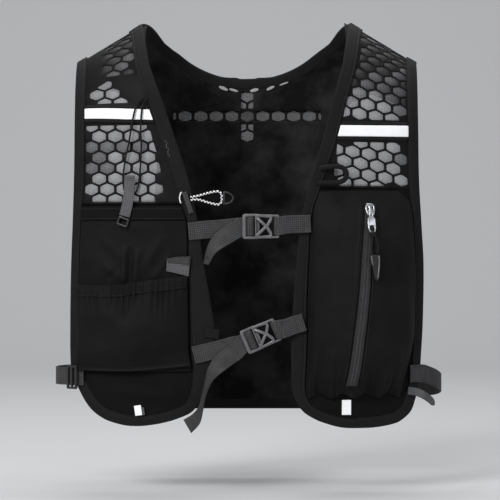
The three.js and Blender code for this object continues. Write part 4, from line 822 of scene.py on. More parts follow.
def perforated(name, outline, cells, side, low, wall, material, nodes, grid=5.0):
    # A moulded net: round-shouldered ribs between the cells, with plain cloth around them.
    rings = [roundCorners(cell) for cell in cells]
    crest = [widenRing(ring, net["crest"]) for ring in rings]
    outline = np.asarray(outline, float)
    steps = []
    for i in range(len(outline)):
        a, b = outline[i - 1], outline[i]
        count = max(1, int(np.linalg.norm(b - a) / grid))
        steps += [mix(a, b, k / count) for k in range(count)]
    outline = np.array(steps)
    spots, edges = [Vector(p) for p in outline], [(i, (i + 1) % len(outline)) for i in range(len(outline))]
    fixed = len(spots)
    for ring in crest:
        start = len(spots)
        spots += [Vector(p) for p in ring]
        edges += [(start + i, start + (i + 1) % len(ring)) for i in range(len(ring))]
    centres = np.array([np.mean(r, axis=0) for r in rings]) if rings else np.zeros((0, 2))
    ringEnds = np.cumsum([0] + [len(r) for r in crest])
    for x in np.arange(outline[:, 0].min() + grid / 2, outline[:, 0].max(), grid):
        for d in np.arange(outline[:, 1].min() + grid / 2, outline[:, 1].max(), grid):
            if len(centres) == 0 or np.min(np.hypot(*(centres - (x, d)).T)) > 12:
                if insideRing(outline, x, d, 1.5):
                    spots.append(Vector((x, d)))
    flat, _, faces, origin, _, _ = delaunay_2d_cdt(spots, edges, [], 1, 1e-5)
    flat = np.array([tuple(p) for p in flat])
    home = {}
    for i, old in enumerate(origin):
        for o in old:
            home[o] = i
    kept = []
    for face in faces:
        x, d = flat[list(face)].mean(0)
        if any(insideRing(ring, x, d, 0) for ring, c in zip(crest, centres) if math.dist(c, (x, d)) < 16):
            continue
        kept.append(tuple(face))
    top = skin(flat[:, 0], flat[:, 1], side, low + wall)
    under = skin(flat[:, 0], flat[:, 1], side, low)
    verts, uvs, count = [top, under], [flat, flat], len(flat)
    triangles = [f if isFacing(top, f, side) else f[::-1] for f in kept]
    result = list(triangles) + [tuple(i + count for i in f[::-1]) for f in triangles]
    total = 2 * count
    for index, (ring, wide) in enumerate(zip(rings, crest)):
        edge = [home[fixed + ringEnds[index] + i] for i in range(len(ring))]
        shoulder = mix(ring, wide, 0.3)
        layers = [(shoulder, low + wall * 0.82), (ring, low + wall * 0.45),
                  (mix(ring, wide, 0.4), low + wall * 0.08)]
        ids = [edge]
        for spotsHere, lift in layers:
            verts.append(skin(spotsHere[:, 0], spotsHere[:, 1], side, lift))
            uvs.append(spotsHere)
            ids.append(list(range(total, total + len(ring))))
            total += len(ring)
        ids.append([e + count for e in edge])
        for a, b in zip(ids, ids[1:]):
            for i in range(len(ring)):
                k = (i + 1) % len(ring)
                result.append((a[i], a[k], b[k], b[i]) if side == -1 else (a[k], a[i], b[i], b[k]))
    rim = [home[i] for i in range(fixed)]
    for i in range(fixed):
        k = (i + 1) % fixed
        result.append((rim[k], rim[i], rim[i] + count, rim[k] + count))
    verts, uvs = np.vstack(verts), np.vstack(uvs)
    piece = meshPiece(name, verts, result, uvs, material, nodes)
    squareUp(piece)
    low, high = outline.min(0), outline.max(0)
    row = skin(np.linspace(low[0], high[0], 60), (low[1] + high[1]) / 2, side)
    cut[name] = (piece, [float(lengthOf(row)) / 1000, float(high[1] - low[1]) / 1000])
    return piece


def insideRing(ring, x, d, spare):
    # whether a spot lies inside a ring, and at least that far from it
    ring = np.asarray(ring)
    after = np.roll(ring, -1, 0)
    if spare:
        way = after - ring
        t = np.clip(((x - ring[:, 0]) * way[:, 0] + (d - ring[:, 1]) * way[:, 1])
                    / np.sum(way ** 2, 1).clip(1e-9), 0, 1)
        if np.min(np.hypot(x - ring[:, 0] - t * way[:, 0], d - ring[:, 1] - t * way[:, 1])) < spare:
            return False
    crosses = (ring[:, 1] > d) != (after[:, 1] > d)
    with np.errstate(divide="ignore", invalid="ignore"):
        at = ring[:, 0] + (d - ring[:, 1]) / (after[:, 1] - ring[:, 1]) * (after[:, 0] - ring[:, 0])
    return np.count_nonzero(crosses & (x < at)) % 2 == 1


def isFacing(points, face, side):
    a, b, c = (points[i] for i in face[:3])
    return np.cross(b - a, c - a)[1] * side > 0


def squareUp(piece):
    # makes every face of a closed mesh look outwards
    work = bmesh.new()
    work.from_mesh(piece.data)
    bmesh.ops.remove_doubles(work, verts=work.verts, dist=1e-6)
    bmesh.ops.recalc_face_normals(work, faces=work.faces)
    work.to_mesh(piece.data)
    work.free()


yokeFoot = {"left": lambda x: 56 + 0 * x, "right": lambda x: 66 + (x - 95) * 0.3}


def cellTone(name, x, d):
    # cells go dim where the yoke's lining or a fold of the mesh lies behind them
    across = abs(x)
    if d < float(yokeFoot[name](x)):
        return "half" if math.sin(x * 0.31 + d * 0.23) > 0.35 else "dim"
    if name == "left":
        return "half" if (120 < d < 131 and across > 105) or (138 < d < 160 and across > 138) else "full"
    return "half" if across > 149 and d < 150 else "full"


def cellMesh(name, cells):
    # the fine mesh behind the ribs, cell by cell
    fabrics = {"full": fineMesh, "half": foldAndShadeMesh, "dim": dimMesh}
    found = {tone: ([], [], []) for tone in fabrics}
    for cell in cells:
        ring = widenRing(roundCorners(cell, 1.0, 2.4), 0.9)
        centre = ring.mean(0)
        verts, faces, uvs = found[cellTone(name, *centre)]
        spots = np.vstack([ring, centre])
        base, count = sum(len(v) for v in verts), len(ring)
        for lift in net["meshFaces"]:
            verts.append(skin(spots[:, 0], spots[:, 1], -1, lift))
            uvs.append(spots)
        for i in range(count):
            k, under = (i + 1) % count, count + 1
            faces += [(base + i, base + k, base + count),
                      (base + under + k, base + under + i, base + under + count),
                      (base + i, base + under + i, base + under + k, base + k)]
    for tone, (verts, faces, uvs) in found.items():
        if faces:
            piece = meshPiece(tone + "Mesh" + name.title(), np.vstack(verts), faces, np.vstack(uvs),
                              fabrics[tone], None)
            squareUp(piece)


def makeWindow(name):
    # a net window from the shoulder's top down to the seam
    facts = fronts[name]
    hand, edges, seam = facts["hand"], facts["edges"], facts["seam"]
    outer = limitsOf(name)[1]
    share = seam / long
    line = lambda x: archHeight - archRun - ridgeZ(x)
    ridge = [(hand * half * mix(edges[0, 1], 1, i / 12), line(hand * half * mix(edges[0, 1], 1, i / 12)))
             for i in range(13)]
    downs = np.linspace(0.1, share, 20)[:-1]
    outerSide = [(edgeX(edges, 2, s, hand), unroll(edgeX(edges, 2, s, hand), -s * long)) for s in downs]
    ends = [edgeX(edges, 2, share, hand), edgeX(edges, 1, share, hand)]
    seamLine = [(mix(ends[0], ends[1], i / 12), seam - 0.4) for i in range(13)]
    downs = np.linspace(share, 0, 24)[1:-1]
    innerSide = [(edgeX(edges, 1, s, hand), unroll(edgeX(edges, 1, s, hand), -s * long)) for s in downs]
    outline = [(float(a), float(b)) for a, b in ridge + outerSide + seamLine + innerSide]
    table = windowEdge[name]

    def limits(d):
        a = hand * (half * tableAt(table[:, 0], table[:, 1], d / long) + 1)
        b = hand * (outer(d) - 1)
        return sorted((float(a), float(b)))

    roof = lambda x: line(x) + net["highest"]
    first = firstCell[name]
    above, stop = net["above"], facts["carrier"] - net["carrierHalf"]
    cells = hexCells(facts["carrier"] + net["carrierHalf"], seam - net["seamGap"], limits, first["lower"],
                     first["slant"])
    if name == "right":
        cells += hexCells(above, stop, limits, first["upper"], first["slant"], roof)
    else:
        # plain cloth above two slanting seams that meet at a peak, but for one patch of cells
        tip, middle = yokePeak["down"] * long, yokePeak["across"] * half

        def slanted(d):
            return (max(-middle - (d - tip) / yokePeak["toArm"], limits(d)[0]),
                    min(-middle + (d - tip) / yokePeak["toNeck"], limits(d)[1]))

        patch = [share * half for share in yokePeak["patch"]]
        cells += hexCells(above, tip - 2, lambda d: patch, first["upper"], 0, roof)
        cells += hexCells(tip, stop, slanted, first["upper"])
    perforated("netWindow" + name.title(), outline, cells, -1, 0.0, net["wall"], netRibs,
               "mesh_window_" + name)
    cellMesh(name, cells)
    # the yoke's lining lies behind the upper cells and darkens them
    s, t = gridOf(40, 50)
    ends = [edgeX(edges, 2, np.maximum(0.1, 0 * t), hand) + 0 * t - hand * 3,
            edgeX(edges, 1, 0.08 + 0 * t, hand) + hand * 2]
    x = mix(ends[0], ends[1], s)
    foot = yokeFoot[name](x)
    d = mix(line(x) + 2, foot, t)
    sheetPiece("yokeLining" + name.title(), x, d, -1.6 + 0.3 * clouds(x, d, 20, 61), cloth["liningWall"],
               backCloth, None)


for name in fronts:
    makeWindow(name)
print("net windows made")

# the closed cloth below the net
panelFolds = {
    # x0, d0, x1, d1, width, height of each soft fold
    "left": [(-150, 372, -70, 380, 6, 1.8), (-140, 392, -90, 388, 5, -1.2), (-80, 360, -62, 396, 6, 1.6)],
    "right": [(62, 396, 100, 384, 6, 1.5), (110, 392, 160, 396, 6, -1.2)],
}


def makePanel(name):
    # the closed cloth from the seam to the rounded foot
    facts = fronts[name]
    hand, edges = facts["hand"], facts["edges"]
    share = facts["seam"] / long
    last = edges[-1, 0]
    footRows = 1 - (1 - np.linspace(0, 1, 40)[1:]) ** 1.8  # closer together round the foot
    rows = np.concatenate([np.linspace(share, 0.9, 60), mix(0.9, last - 0.0006, footRows)])
    u, v = np.meshgrid(np.linspace(0, 1, 56), rows)
    ends = [edgeX(edges, 2, v, hand), edgeX(edges, 1, v, hand)]
    x = mix(ends[0], ends[1], u)
    d = np.maximum(mix(unroll(ends[0], -v * long), unroll(ends[1], -v * long), u), facts["seam"] + 0.4)
    lift = 0.35 * clouds(x, d, 22, facts["seed"]) * np.sin(u * math.pi) ** 0.5
    for row in panelFolds[name]:
        lift = lift + crease(x, d, row) * np.sin(u * math.pi) ** 0.7
    lift = np.maximum(lift, -0.2) * smooth(v, 0.84, 0.9)
    sheetPiece("frontPanel" + name.title(), x, d, lift, cloth["panelWall"], nylonShell, "front_panel_" + name)


for name in fronts:
    makePanel(name)
    facts = fronts[name]
    hand, edges = facts["hand"], facts["edges"]
    inner, outer = limitsOf(name)
    paths = [edgeLine(edges, 1, hand, 230), edgeLine(edges, 2, hand, 210)]
    meet = (paths[0][-1] + paths[1][-1]) / 2
    ends = [np.linspace(p[-1], meet + (meet - p[-1]) * 0.06, 8)[1:] for p in paths]
    path = np.vstack([paths[0], ends[0]])
    wide = bindingAt(name, np.maximum(0, path[:, 1]) / long)
    bindingPiece("frontBinding" + name.title(), path, wide, -hand, "front_binding_" + name,
                 seed=facts["seed"])
    path = np.vstack([paths[1], ends[1]])
    wide = armWide(np.maximum(0, path[:, 1]) / long)
    bindingPiece("armBinding" + name.title(), path, wide, hand, "arm_binding_" + name, seed=facts["seed"] + 1)

    # the turned seam allowance behind the joint of net and cloth
    u, v = gridOf(50, 7)
    d = facts["seam"] - 4.5 + 12 * v
    sheetPiece("seamTurning" + name.title(), mix(hand * (outer(d) + 2), hand * (inner(d) - 2), u), d,
               -0.95 + 0.2 * np.sin(v * math.pi), cloth["liningWall"], nylonShell, None)

    # the reflective strip on its dark tape
    for kind, base, tall, material, slot in (("Carrier", 1.6, 18, bindingTape, "binding"),
                                             ("Strip", 2.9, 10.5, reflectiveTape, "reflective")):
        u, v = gridOf(70, 16)
        middle = facts["carrier"] + facts["slope"] * (u - 0.5) + (v - 0.5) * tall
        x = mix(hand * (outer(middle) - 0.8), hand * (inner(middle) + 0.8), u)
        crown = 0.35 * (1 - (2 * v - 1) ** 4) + 0.25 * clouds(x, middle, 14, facts["seed"] + 5)
        node = "reflective_" + kind.lower() + "_" + name
        if kind == "Strip":
            sheetPiece("reflectiveStrip" + name.title(), x, middle, base + crown * 0.5, 0.8, material, node)
        else:
            sheetPiece("reflectiveCarrier" + name.title(), x, middle, base + crown, 0.8, material, node,
                       uv=np.stack([middle, x], -1))
            for e in (0.09, 0.91):
                md = facts["carrier"] + facts["slope"] * (u[0] - 0.5) + (e - 0.5) * tall
                mx = mix(hand * (outer(md) - 0.8), hand * (inner(md) + 0.8), u[0])
                top = skin(mx, md, -1, 2.55)
                blackRows.append((top, skin(mx, md, -1, 3.55) - top))
print("fronts made")

# the back
backFolds = [(-64, 148, 40, 192, 9, 4.2), (-30, 178, 74, 150, 8, 3.4), (10, 205, 60, 268, 9, 4.0),
             (-70, 226, -26, 330, 8, 3.6), (20, 296, 74, 392, 9, 3.6), (-104, 118, -58, 164, 7, 2.8),
             (60, 108, 114, 152, 7, 2.8), (-22, 256, 34, 332, 8, -3.2), (-60, 196, 20, 236, 7, -2.6),
             (-52, 330, 10, 392, 8, 2.8), (40, 172, 84, 240, 7, 2.6)]
cross = {"barHalf": 79, "uprightHalf": 7, "lap": 4}


def makeBack():
    # rows are smooth through the table, and columns run from the middle out
    index = np.arange(len(backEdges))
    steps = []
    for i in range(len(backEdges) - 1):
        gap = (backEdges[i + 1, 0] - backEdges[i, 0]) * long
        count = max(3, int(gap / 3.2))
        steps.append(i + np.arange(count) / count)
    rows = np.concatenate(steps + [[len(backEdges) - 1]])
    down = tableAt(index, backEdges[:, 0], rows)
    innerX = half * tableAt(index, backEdges[:, 1], rows)
    innerX = np.where(rows >= 6, half * 0.04, innerX)
    outerDown = tableAt(index, backEdges[:, 2], rows)
    outerX = half * tableAt(index, backEdges[:, 3], rows)
    columns = np.concatenate([np.linspace(0, 0.2, 8)[:-1], np.linspace(0.2, 1, 34)])
    both = np.concatenate([-columns[::-1], columns])
    hand = np.sign(np.arange(len(both)) - len(columns) + 0.5)
    share = np.abs(both)
    endIn = unroll(innerX, -down * long)
    endOut = unroll(outerX, -outerDown * long)
    x = hand[None, :] * mix(innerX[:, None], outerX[:, None], share[None, :])
    d = mix(endIn[:, None], endOut[:, None], share[None, :])
    edge = np.clip((1 - share) * 6, 0, 1)[None, :]
    lift = 2.2 * clouds(x, d, 40, 3) + 1.1 * clouds(x, d, 17, 4)
    for row in backFolds:
        lift = lift + crease(x, d, row)
    lift = lift * edge * smooth(d, 125, 160) * (1 - smooth(d, 375, 398))
    barTop, barFoot = backEdges[9, 0] * long, backEdges[10, 0] * long
    top, foot = backEdges[7, 0] * long, backEdges[11, 0] * long
    keep = np.ones((len(rows) - 1, len(both) - 1), bool)
    midD = (d[:-1, :-1] + d[1:, 1:]) / 2
    midX = (x[:-1, :-1] + x[1:, 1:]) / 2
    keep[(midD > barTop) & (midD < barFoot) & (np.abs(midX) < cross["barHalf"])] = False
    centre = len(columns) - 1
    keep[:, centre] = (rows[:-1] >= 6)
    keep[(midD > top) & (midD < foot) & (np.abs(midX) < cross["uprightHalf"])] = False
    sheetPiece("backPanel", x, d, lift, cloth["panelWall"], backCloth, "back_panel", side=1,
               keep=keep)

    lap = cross["lap"]
    halfs = [cross["uprightHalf"] + lap, cross["barHalf"] + lap]
    outline = [(-halfs[0], top - 1), (halfs[0], top - 1), (halfs[0], barTop - lap), (halfs[1], barTop - lap),
               (halfs[1], barFoot + lap), (halfs[0], barFoot + lap), (halfs[0], foot + lap),
               (-halfs[0], foot + lap), (-halfs[0], barFoot + lap), (-halfs[1], barFoot + lap),
               (-halfs[1], barTop - lap), (-halfs[0], barTop - lap)]
    bar = lambda d: (-cross["barHalf"], cross["barHalf"])
    upright = lambda d: (-cross["uprightHalf"], cross["uprightHalf"])
    first = (-6 * net["pitch"], (barTop + barFoot) / 2 - 4 * net["pitch"] * math.sqrt(3) / 2 * net["squash"])
    cells = hexCells(barTop, barFoot, bar, first, smallest=9)
    cells += hexCells(top + 1, barTop - net["rib"], upright, first, smallest=12)
    cells += hexCells(barFoot + net["rib"], foot, upright, first, smallest=12)
    perforated("backMeshCross", outline, cells, 1, layerOne, 1.0, netRibs, "back_mesh_cross", grid=4.0)
    # the fine mesh on the back's crossbar, in a darker copy of the mesh: painted shade on the back's inside
    u, v = gridOf(60, 12, (-1, 1))
    sheetPiece("backFineMeshBar", u * (halfs[1] - 1), mix(barTop - 3, barFoot + 3, v), 2.85 + 0 * u, 0.3,
               shadedCrossMesh, None, side=1)
    # the cross's upright in a darker copy of the mesh: painted shade on the back's inside
    u, v = gridOf(12, 40, (-1, 1))
    sheetPiece("backFineMeshUpright", u * (halfs[0] - 1), mix(top, foot + 3, v), 3.2 + 0 * u, 0.3, foldAndShadeMesh,
               None, side=1)
    # pale mesh shows in a broken slit under the neck binding; its paler colour and dashed pieces are a
    # painted highlight along the strip's edge
    for x0, x1, middle, tall, rise in (
            (-30, -21, 58.6, 3.4, 3.4), (-19, -10, 60.6, 2.4, 2.6), (3.4, 12, 60.6, 3.4, -1.8),
            (21, 29, 58.4, 3, -3.4), (35, 44, 53.6, 1.6, -3)):
        u, v = gridOf(16, 6, downEnds=(-0.5, 0.5))
        taper = np.sin(mix(0.12, 0.88, u) * math.pi) ** 0.8
        sheetPiece("neckSlitHighlightMesh", mix(x0, x1, u), middle + tall * v * taper + rise * (u - 0.5), -1.7 + 0 * u,
                   0.4, highlitSlitMesh, None, side=1)


makeBack()
neck = np.vstack([edgeLine(backEdges, 1, -1, 60, to=0.12), edgeLine(backEdges, 1, 1, 60, to=0.12)[::-1]])
neck = splineThrough(neck[::4], 190)
bindingPiece("backNeckBinding", neck, 11, 1, "back_neck_binding", side=1, seed=31)
for name, hand in (("left", -1), ("right", 1)):
    path = edgeLine(backEdges, 3, hand, 190, downColumn=2)
    bindingPiece("backSideBinding" + name.title(), path, 9, hand, "back_side_binding_" + name, side=1,
                 seed=33)
reach = half * backEdges[-1, 3] - 9.8
hem = np.stack([np.linspace(-reach, reach, 120), np.full(120, backEdges[-1, 0] * long)], -1)
bindingPiece("backHemBinding", hem, 10, -1, "back_hem_binding", side=1, seed=35)
print("back made")

# the left pockets
innerLeft, outerLeft = limitsOf("left")
innerRight, outerRight = limitsOf("right")
stash = {"top": 189, "foot": 354, "hem": 13}
stashFolds = [(-116, 228, -117.5, 268, 1.9, -5.0), (-108, 230, -112, 268, 4, 3.2),
              (-122, 228, -122.5, 268, 3.2, 3.2), (-152, 240, -120, 264, 4.5, 1.7),
              (-150, 214, -122, 244, 5, 1.5), (-82, 216, -106, 256, 5, 1.7), (-74, 232, -94, 264, 3.5, 1.2),
              (-132, 205, -98, 212, 4, 0.9), (-140, 262, -122, 246, 3, -1.2), (-96, 208, -78, 240, 4, -1.0)]


def outwards(x, d):
    return skin(x, d, -1, 20) - skin(x, d, -1, 10)


def leftEnds(d):
    # outer and inner x of the left pockets
    return -(outerLeft(d) - 0.8), -(innerLeft(d) + 0.8)


def stashLift(x, d):
    ends = leftEnds(d)
    across = np.clip((x - ends[0]) / (ends[1] - ends[0]), 0, 1)
    hump = np.sin(math.pi * across)
    lift = 1.6 * hump + 0.6 * clouds(x, d, 16, 8) * hump ** 0.5
    for row in stashFolds:
        lift = lift + crease(x, d, row) * hump ** 0.5
    return np.maximum(lift, -0.2)


u, v = gridOf(72, 110)
d = mix(stash["top"], stash["foot"], v)
x = mix(*leftEnds(d), u)
sheetPiece("stashPocket", x, d, layerOne + stashLift(x, d) * mix(1, 0.6, smooth(d, 270, 300)),
           cloth["pocketWall"], softShell, "stash_pocket_left")
u, v = gridOf(90, 14)
d = mix(stash["top"], stash["top"] + stash["hem"], v)
x = mix(*leftEnds(d), u)
sheetPiece("stashPocketHem", x, d, layerOne + 1.6 + stashLift(x, d) + 0.25 * (1 - (2 * v - 1) ** 6), 0.9,
           nylonShell, "stash_pocket_hem")
for e in (0.12, 0.88):
    md = np.full(60, stash["top"] + stash["hem"] * e)
    mx = np.linspace(*[float(k) for k in leftEnds(md[0])], 60)
    top = skin(mx, md, -1, layerOne + 2.6 + stashLift(mx, md))
    blackRows.append((top, outwards(mx, md)))

bottle = {"bulge": 13, "low": 6.2, "hem": 12, "gathers": 17, "drop": 90, "ripples": 46}
bottleRim = np.array([(0, 267.5), (0.4, 267), (0.55, 264), (1, 258)])
bottleFoot = np.array([(0, 353.5), (0.5, 353.5), (1, 348)])


def bottleSpot(u, v):
    # share across and down the pocket, to x and d
    d = mix(tableAt(bottleRim[:, 0], bottleRim[:, 1], u), tableAt(bottleFoot[:, 0], bottleFoot[:, 1], u), v)
    return mix(*leftEnds(d), u), d


def ruche(u):
    # uneven gathers across the pocket, from -1 to 1
    phase = 2 * math.pi * bottle["gathers"] * u + 2.2 * clouds(u * 10, u * 0, 1.0, 41)
    return np.sin(phase) * (0.7 + 0.3 * clouds(u * 20, u * 0, 1.0, 42))


def bottleLift(u, v, gathered=1.0):
    fall = np.sin(math.pi * np.minimum(1, v * 0.9 + 0.1))
    hump = np.sin(math.pi * np.clip(u, 0, 1))
    swell = hump ** 0.7 * (0.45 + 0.55 * fall)
    closing = 1 - 0.9 * smooth(v, 0.72, 1)
    gathers = 1.5 * ruche(u) * (1 - smooth(v, 0.1, 0.42 + 0.16 * clouds(u * 9, u * 0, 1.0, 43))) * hump ** 0.3
    soft = 1.3 * clouds(u * 100, v * 90, 26, 44) + 0.55 * clouds(u * 100, v * 90, 11, 45)
    tuck = -0.8 * np.exp(-((v - 0.955) / 0.02) ** 2) * hump ** 0.3
    lift = bottle["low"] + bottle["bulge"] * swell * closing + gathers * gathered
    return lift + soft * hump ** 0.6 * smooth(v, 0, 0.2) + tuck


u, v = np.meshgrid(np.linspace(0, 1, 220),
                   np.concatenate([np.linspace(0, 0.5, 60)[:-1], np.linspace(0.5, 1, 42)]))
x, d = bottleSpot(u, v)
sheetPiece("bottlePocket", x, d, bottleLift(u, v), cloth["pocketWall"], softShell, "bottle_pocket_left")
share = bottle["hem"] / bottle["drop"]
u, v = gridOf(300, 22, downEnds=(-0.02, 1))
x, d = bottleSpot(u, v * share)
ripple = 0.55 * np.sin(2 * math.pi * bottle["ripples"] * u + 1.6 * clouds(u * 30, v, 1.0, 46)) * (
    0.6 + 0.4 * np.cos(v * 14))
crown = 0.9 * (1 - (2 * v - 1) ** 6)
sheetPiece("bottlePocketElastic", x, d, bottleLift(u, v * share, 0.6) + 1.3 + crown * 0.35 + ripple * 0.8,
           0.45, softShell, "bottle_pocket_elastic", uv=np.stack([d, x], -1))
# stitches below the elastic and along the pocket's foot
for across, down, gathered, above in ((200, share * 0.9, 0.6, 2.6), (160, 0.985, 1.0, 1.15)):
    mu = np.linspace(0.01, 0.99, across)
    mx, md = bottleSpot(mu, mu * 0 + down)
    top = skin(mx, md, -1, bottleLift(mu, mu * 0 + down, gathered) + above)
    blackRows.append((top, outwards(mx, md)))
print("left pockets made")

# the zip pocket
zipPocket = {"top": 0.425, "foot": 0.93, "bulge": 27, "waves": 4, "inset": 6.5, "waveHigh": 2.2,
             "zipTop": 0.455, "zipRun": 182, "coilFrom": 22, "coilPitch": 1.45, "gathers": 13}
swellDown = np.array([(0, 0.06), (0.08, 0.42), (0.2, 0.72), (0.45, 0.94), (0.7, 1), (0.88, 0.8), (0.96, 0.42),
                      (1, 0.06)])
zipLine = np.array([(0, 0.686), (0.25, 0.66), (0.5, 0.64), (0.75, 0.613), (0.92, 0.594), (1, 0.584)])
zipFolds = [
    # the left side's long upright creases, with the hollows between them
    (63, 378, 66, 318, 3.2, 2.6), (70, 380, 74, 322, 2.6, -2.4), (79, 376, 84, 330, 3.6, 2.4),
    (62, 330, 70, 262, 4.5, 1.8), (74, 318, 82, 250, 5, -1.5), (90, 372, 98, 338, 3.2, -1.6),
    (60, 250, 74, 196, 5, 1.6), (82, 230, 92, 186, 6, 1.4),
    # the right side
    (152, 378, 146, 326, 3.2, 2.4), (145, 380, 138, 334, 2.8, -2.2), (134, 378, 128, 340, 3.4, 1.8),
    (160, 340, 154, 262, 3.6, 2.0), (150, 300, 142, 236, 5, -1.4), (158, 250, 134, 214, 5.5, 1.8),
    (164, 300, 160, 240, 3, -1.2), (112, 376, 107, 342, 3.0, 1.9), (121, 378, 116, 346, 2.8, -1.8),
    (150, 200, 92, 190, 6, 1.2),
]


def zipEnds(down):
    inset = 0.8 + zipPocket["inset"] * smooth(down, 0.78, 0.9)
    return innerRight(down * long) + 0.8, outerRight(down * long) - inset


def zipSpot(u, v):
    # share across and down the pocket, to x and d
    down = mix(zipPocket["top"], zipPocket["foot"], v)
    ends = zipEnds(down)
    wave = zipPocket["waveHigh"] * np.cos(2 * math.pi * zipPocket["waves"] * u) * smooth(v, 0.9, 1)
    corner = 9 * smooth(u, 0.86, 1) * (1 - smooth(v, 0, 0.1))
    return mix(ends[0], ends[1], u), down * long + wave + corner


def zipFootGathers(u, v):
    # short puckers above the pocket's foot seam
    phase = 2 * math.pi * zipPocket["gathers"] * u + 2.4 * clouds(u * 9, u * 0, 1.0, 51)
    return 1.7 * (np.sin(phase) * (0.7 + 0.3 * clouds(u * 15, v, 1.0, 52))) * smooth(v, 0.82, 0.985)


def zipCentreX(d):
    along = (d - zipPocket["zipTop"] * long) / zipPocket["zipRun"]
    return half * tableAt(zipLine[:, 0], zipLine[:, 1], np.clip(along, 0, 1))


def zipLift(u, v, detail=True):
    swell = np.sin(math.pi * np.clip(u, 0, 1)) ** 0.62
    fold = np.cos(2 * math.pi * zipPocket["waves"] * u) * smooth(v, 0.7, 1) + np.cos(9 * u + 2) * 0.6
    out = zipPocket["bulge"] * swell * tableAt(swellDown[:, 0], swellDown[:, 1], v)
    lift = layerOne + out + fold * swell
    if detail:
        x, d = zipSpot(u, v)
        away = smooth(np.abs(x - zipCentreX(d)), 6, 16)
        more = 1.1 * clouds(x, d, 26, 53) + 0.5 * clouds(x, d, 12, 54)
        for row in zipFolds:
            more = more + crease(x, d, row)
        lift = lift + (more * swell + zipFootGathers(u, v) * swell ** 0.5) * mix(0.25, 1, away)
        # the cloth dips into the seam on both sides of the zip
        inZip = smooth(d, 180, 190) * (1 - smooth(d, 364, 372))
        off = np.abs(x - zipCentreX(d))
        lift = lift + inZip * (0.7 * np.exp(-((off - 7.5) / 1.6) ** 2)
                               - 0.5 * np.exp(-((off - 5.2) / 1.0) ** 2))
    return lift


u, v = np.meshgrid(np.linspace(0, 1, 190),
                   np.concatenate([np.linspace(0, 0.12, 24)[:-1], np.linspace(0.12, 0.82, 110)[:-1],
                                   np.linspace(0.82, 1, 50)]))
x, d = zipSpot(u, v)
sheetPiece("zipPocket", x, d, zipLift(u, v), cloth["pocketWall"], softShell, "zip_pocket_right")


def onZipPocket(x, d, extra):
    # a point that far above the pocket's cloth
    down = d / long
    ends = zipEnds(down)
    u = (x - ends[0]) / (ends[1] - ends[0])
    v = (down - zipPocket["top"]) / (zipPocket["foot"] - zipPocket["top"])
    return skin(x, d, -1, zipLift(u, v, False) + extra)


# the tape, and the coil that closes along its middle
rows = np.linspace(0, 1, 170)
zipTop = zipPocket["zipTop"] * long
zipD = zipTop + rows * zipPocket["zipRun"]
zipX = half * tableAt(zipLine[:, 0], zipLine[:, 1], rows)
tapeWide = mix(8, 10, rows)
u, v = np.meshgrid(np.linspace(0, 1, 26), rows)
x = zipX[:, None] + (u - 0.5) * tapeWide[:, None]
d = zipD[:, None] + 0 * u
lift = 2.0 + 0.5 * (1 - (2 * u - 1) ** 4) + 0.25 * (np.abs(2 * u - 1) > 0.45) * (np.abs(2 * u - 1) < 0.85)
zipTape = tapeWeave("zipTape", {"dark": "#121213", "light": "#363637", "rib": 2.0, "cord": 1.2, "rough": 0.7,
                                "bump": 0.6, "sheen": 0.1})
sheetPiece("zipTape", x, d, lift, 0.7, zipTape, "zip_tape_right", place=onZipPocket,
           uv=np.stack([x - zipX[:, None], d], -1))
verts, faces = [], []
for d in np.arange(zipTop + zipPocket["coilFrom"], zipTop + zipPocket["zipRun"] - 1, zipPocket["coilPitch"]):
    centre = float(zipCentreX(d))
    for hand in (-1, 1):
        shift = 0.72 if hand == 1 else 0
        ring = list(range(len(verts), len(verts) + 8))
        for across, up in ((0.1, 2.55), (0.9, 3.25), (1.9, 3.3), (2.5, 2.6)):
            for e in (-0.42, 0.42):
                verts.append(onZipPocket(centre + hand * across, d + shift + e, up))
        for i in range(0, 6, 2):
            faces.append((ring[i], ring[i + 1], ring[i + 3], ring[i + 2]))
        faces += [tuple(ring[i] for i in side) for side in ((0, 2, 4, 6), (1, 7, 5, 3), (0, 6, 7, 1))]
verts = np.array(verts).reshape(-1, 3)
coil = meshPiece("zipCoil", verts, faces, verts[:, [0, 2]], zipTeeth, None)
squareUp(coil)
for off in (-1, 1):
    line = zipX + off * (tapeWide / 2 + 2.2)
    top = onZipPocket(line, zipD, 1.95)
    blackRows.append((top, onZipPocket(line, zipD, 3.0) - top))
print("zip pocket made")

# webbing and buckles
webbing = {"wall": 1.4, "wide": 18, "gap": 0.6}
onPanel = layerTwo + webbing["wall"] / 2
overPanel = onPanel + webbing["wall"] + webbing["gap"]


def laidPath(route, spacing=1.2):
    # a tape's middle line on the body and its width's direction there
    route = np.asarray(route, float)
    fine = splineThrough(route, max(14, int(lengthOf(route[:, :2]) / spacing)))
    way = unitWays(fine[:, :2])
    at = skin(fine[:, 0], fine[:, 1], -1, fine[:, 2])
    ahead = skin(fine[:, 0] - way[:, 1] * 2, fine[:, 1] + way[:, 0] * 2, -1, fine[:, 2])
    behind = skin(fine[:, 0] + way[:, 1] * 2, fine[:, 1] - way[:, 0] * 2, -1, fine[:, 2])
    wide = ahead - behind
    return at, wide / np.linalg.norm(wide, axis=1, keepdims=True)


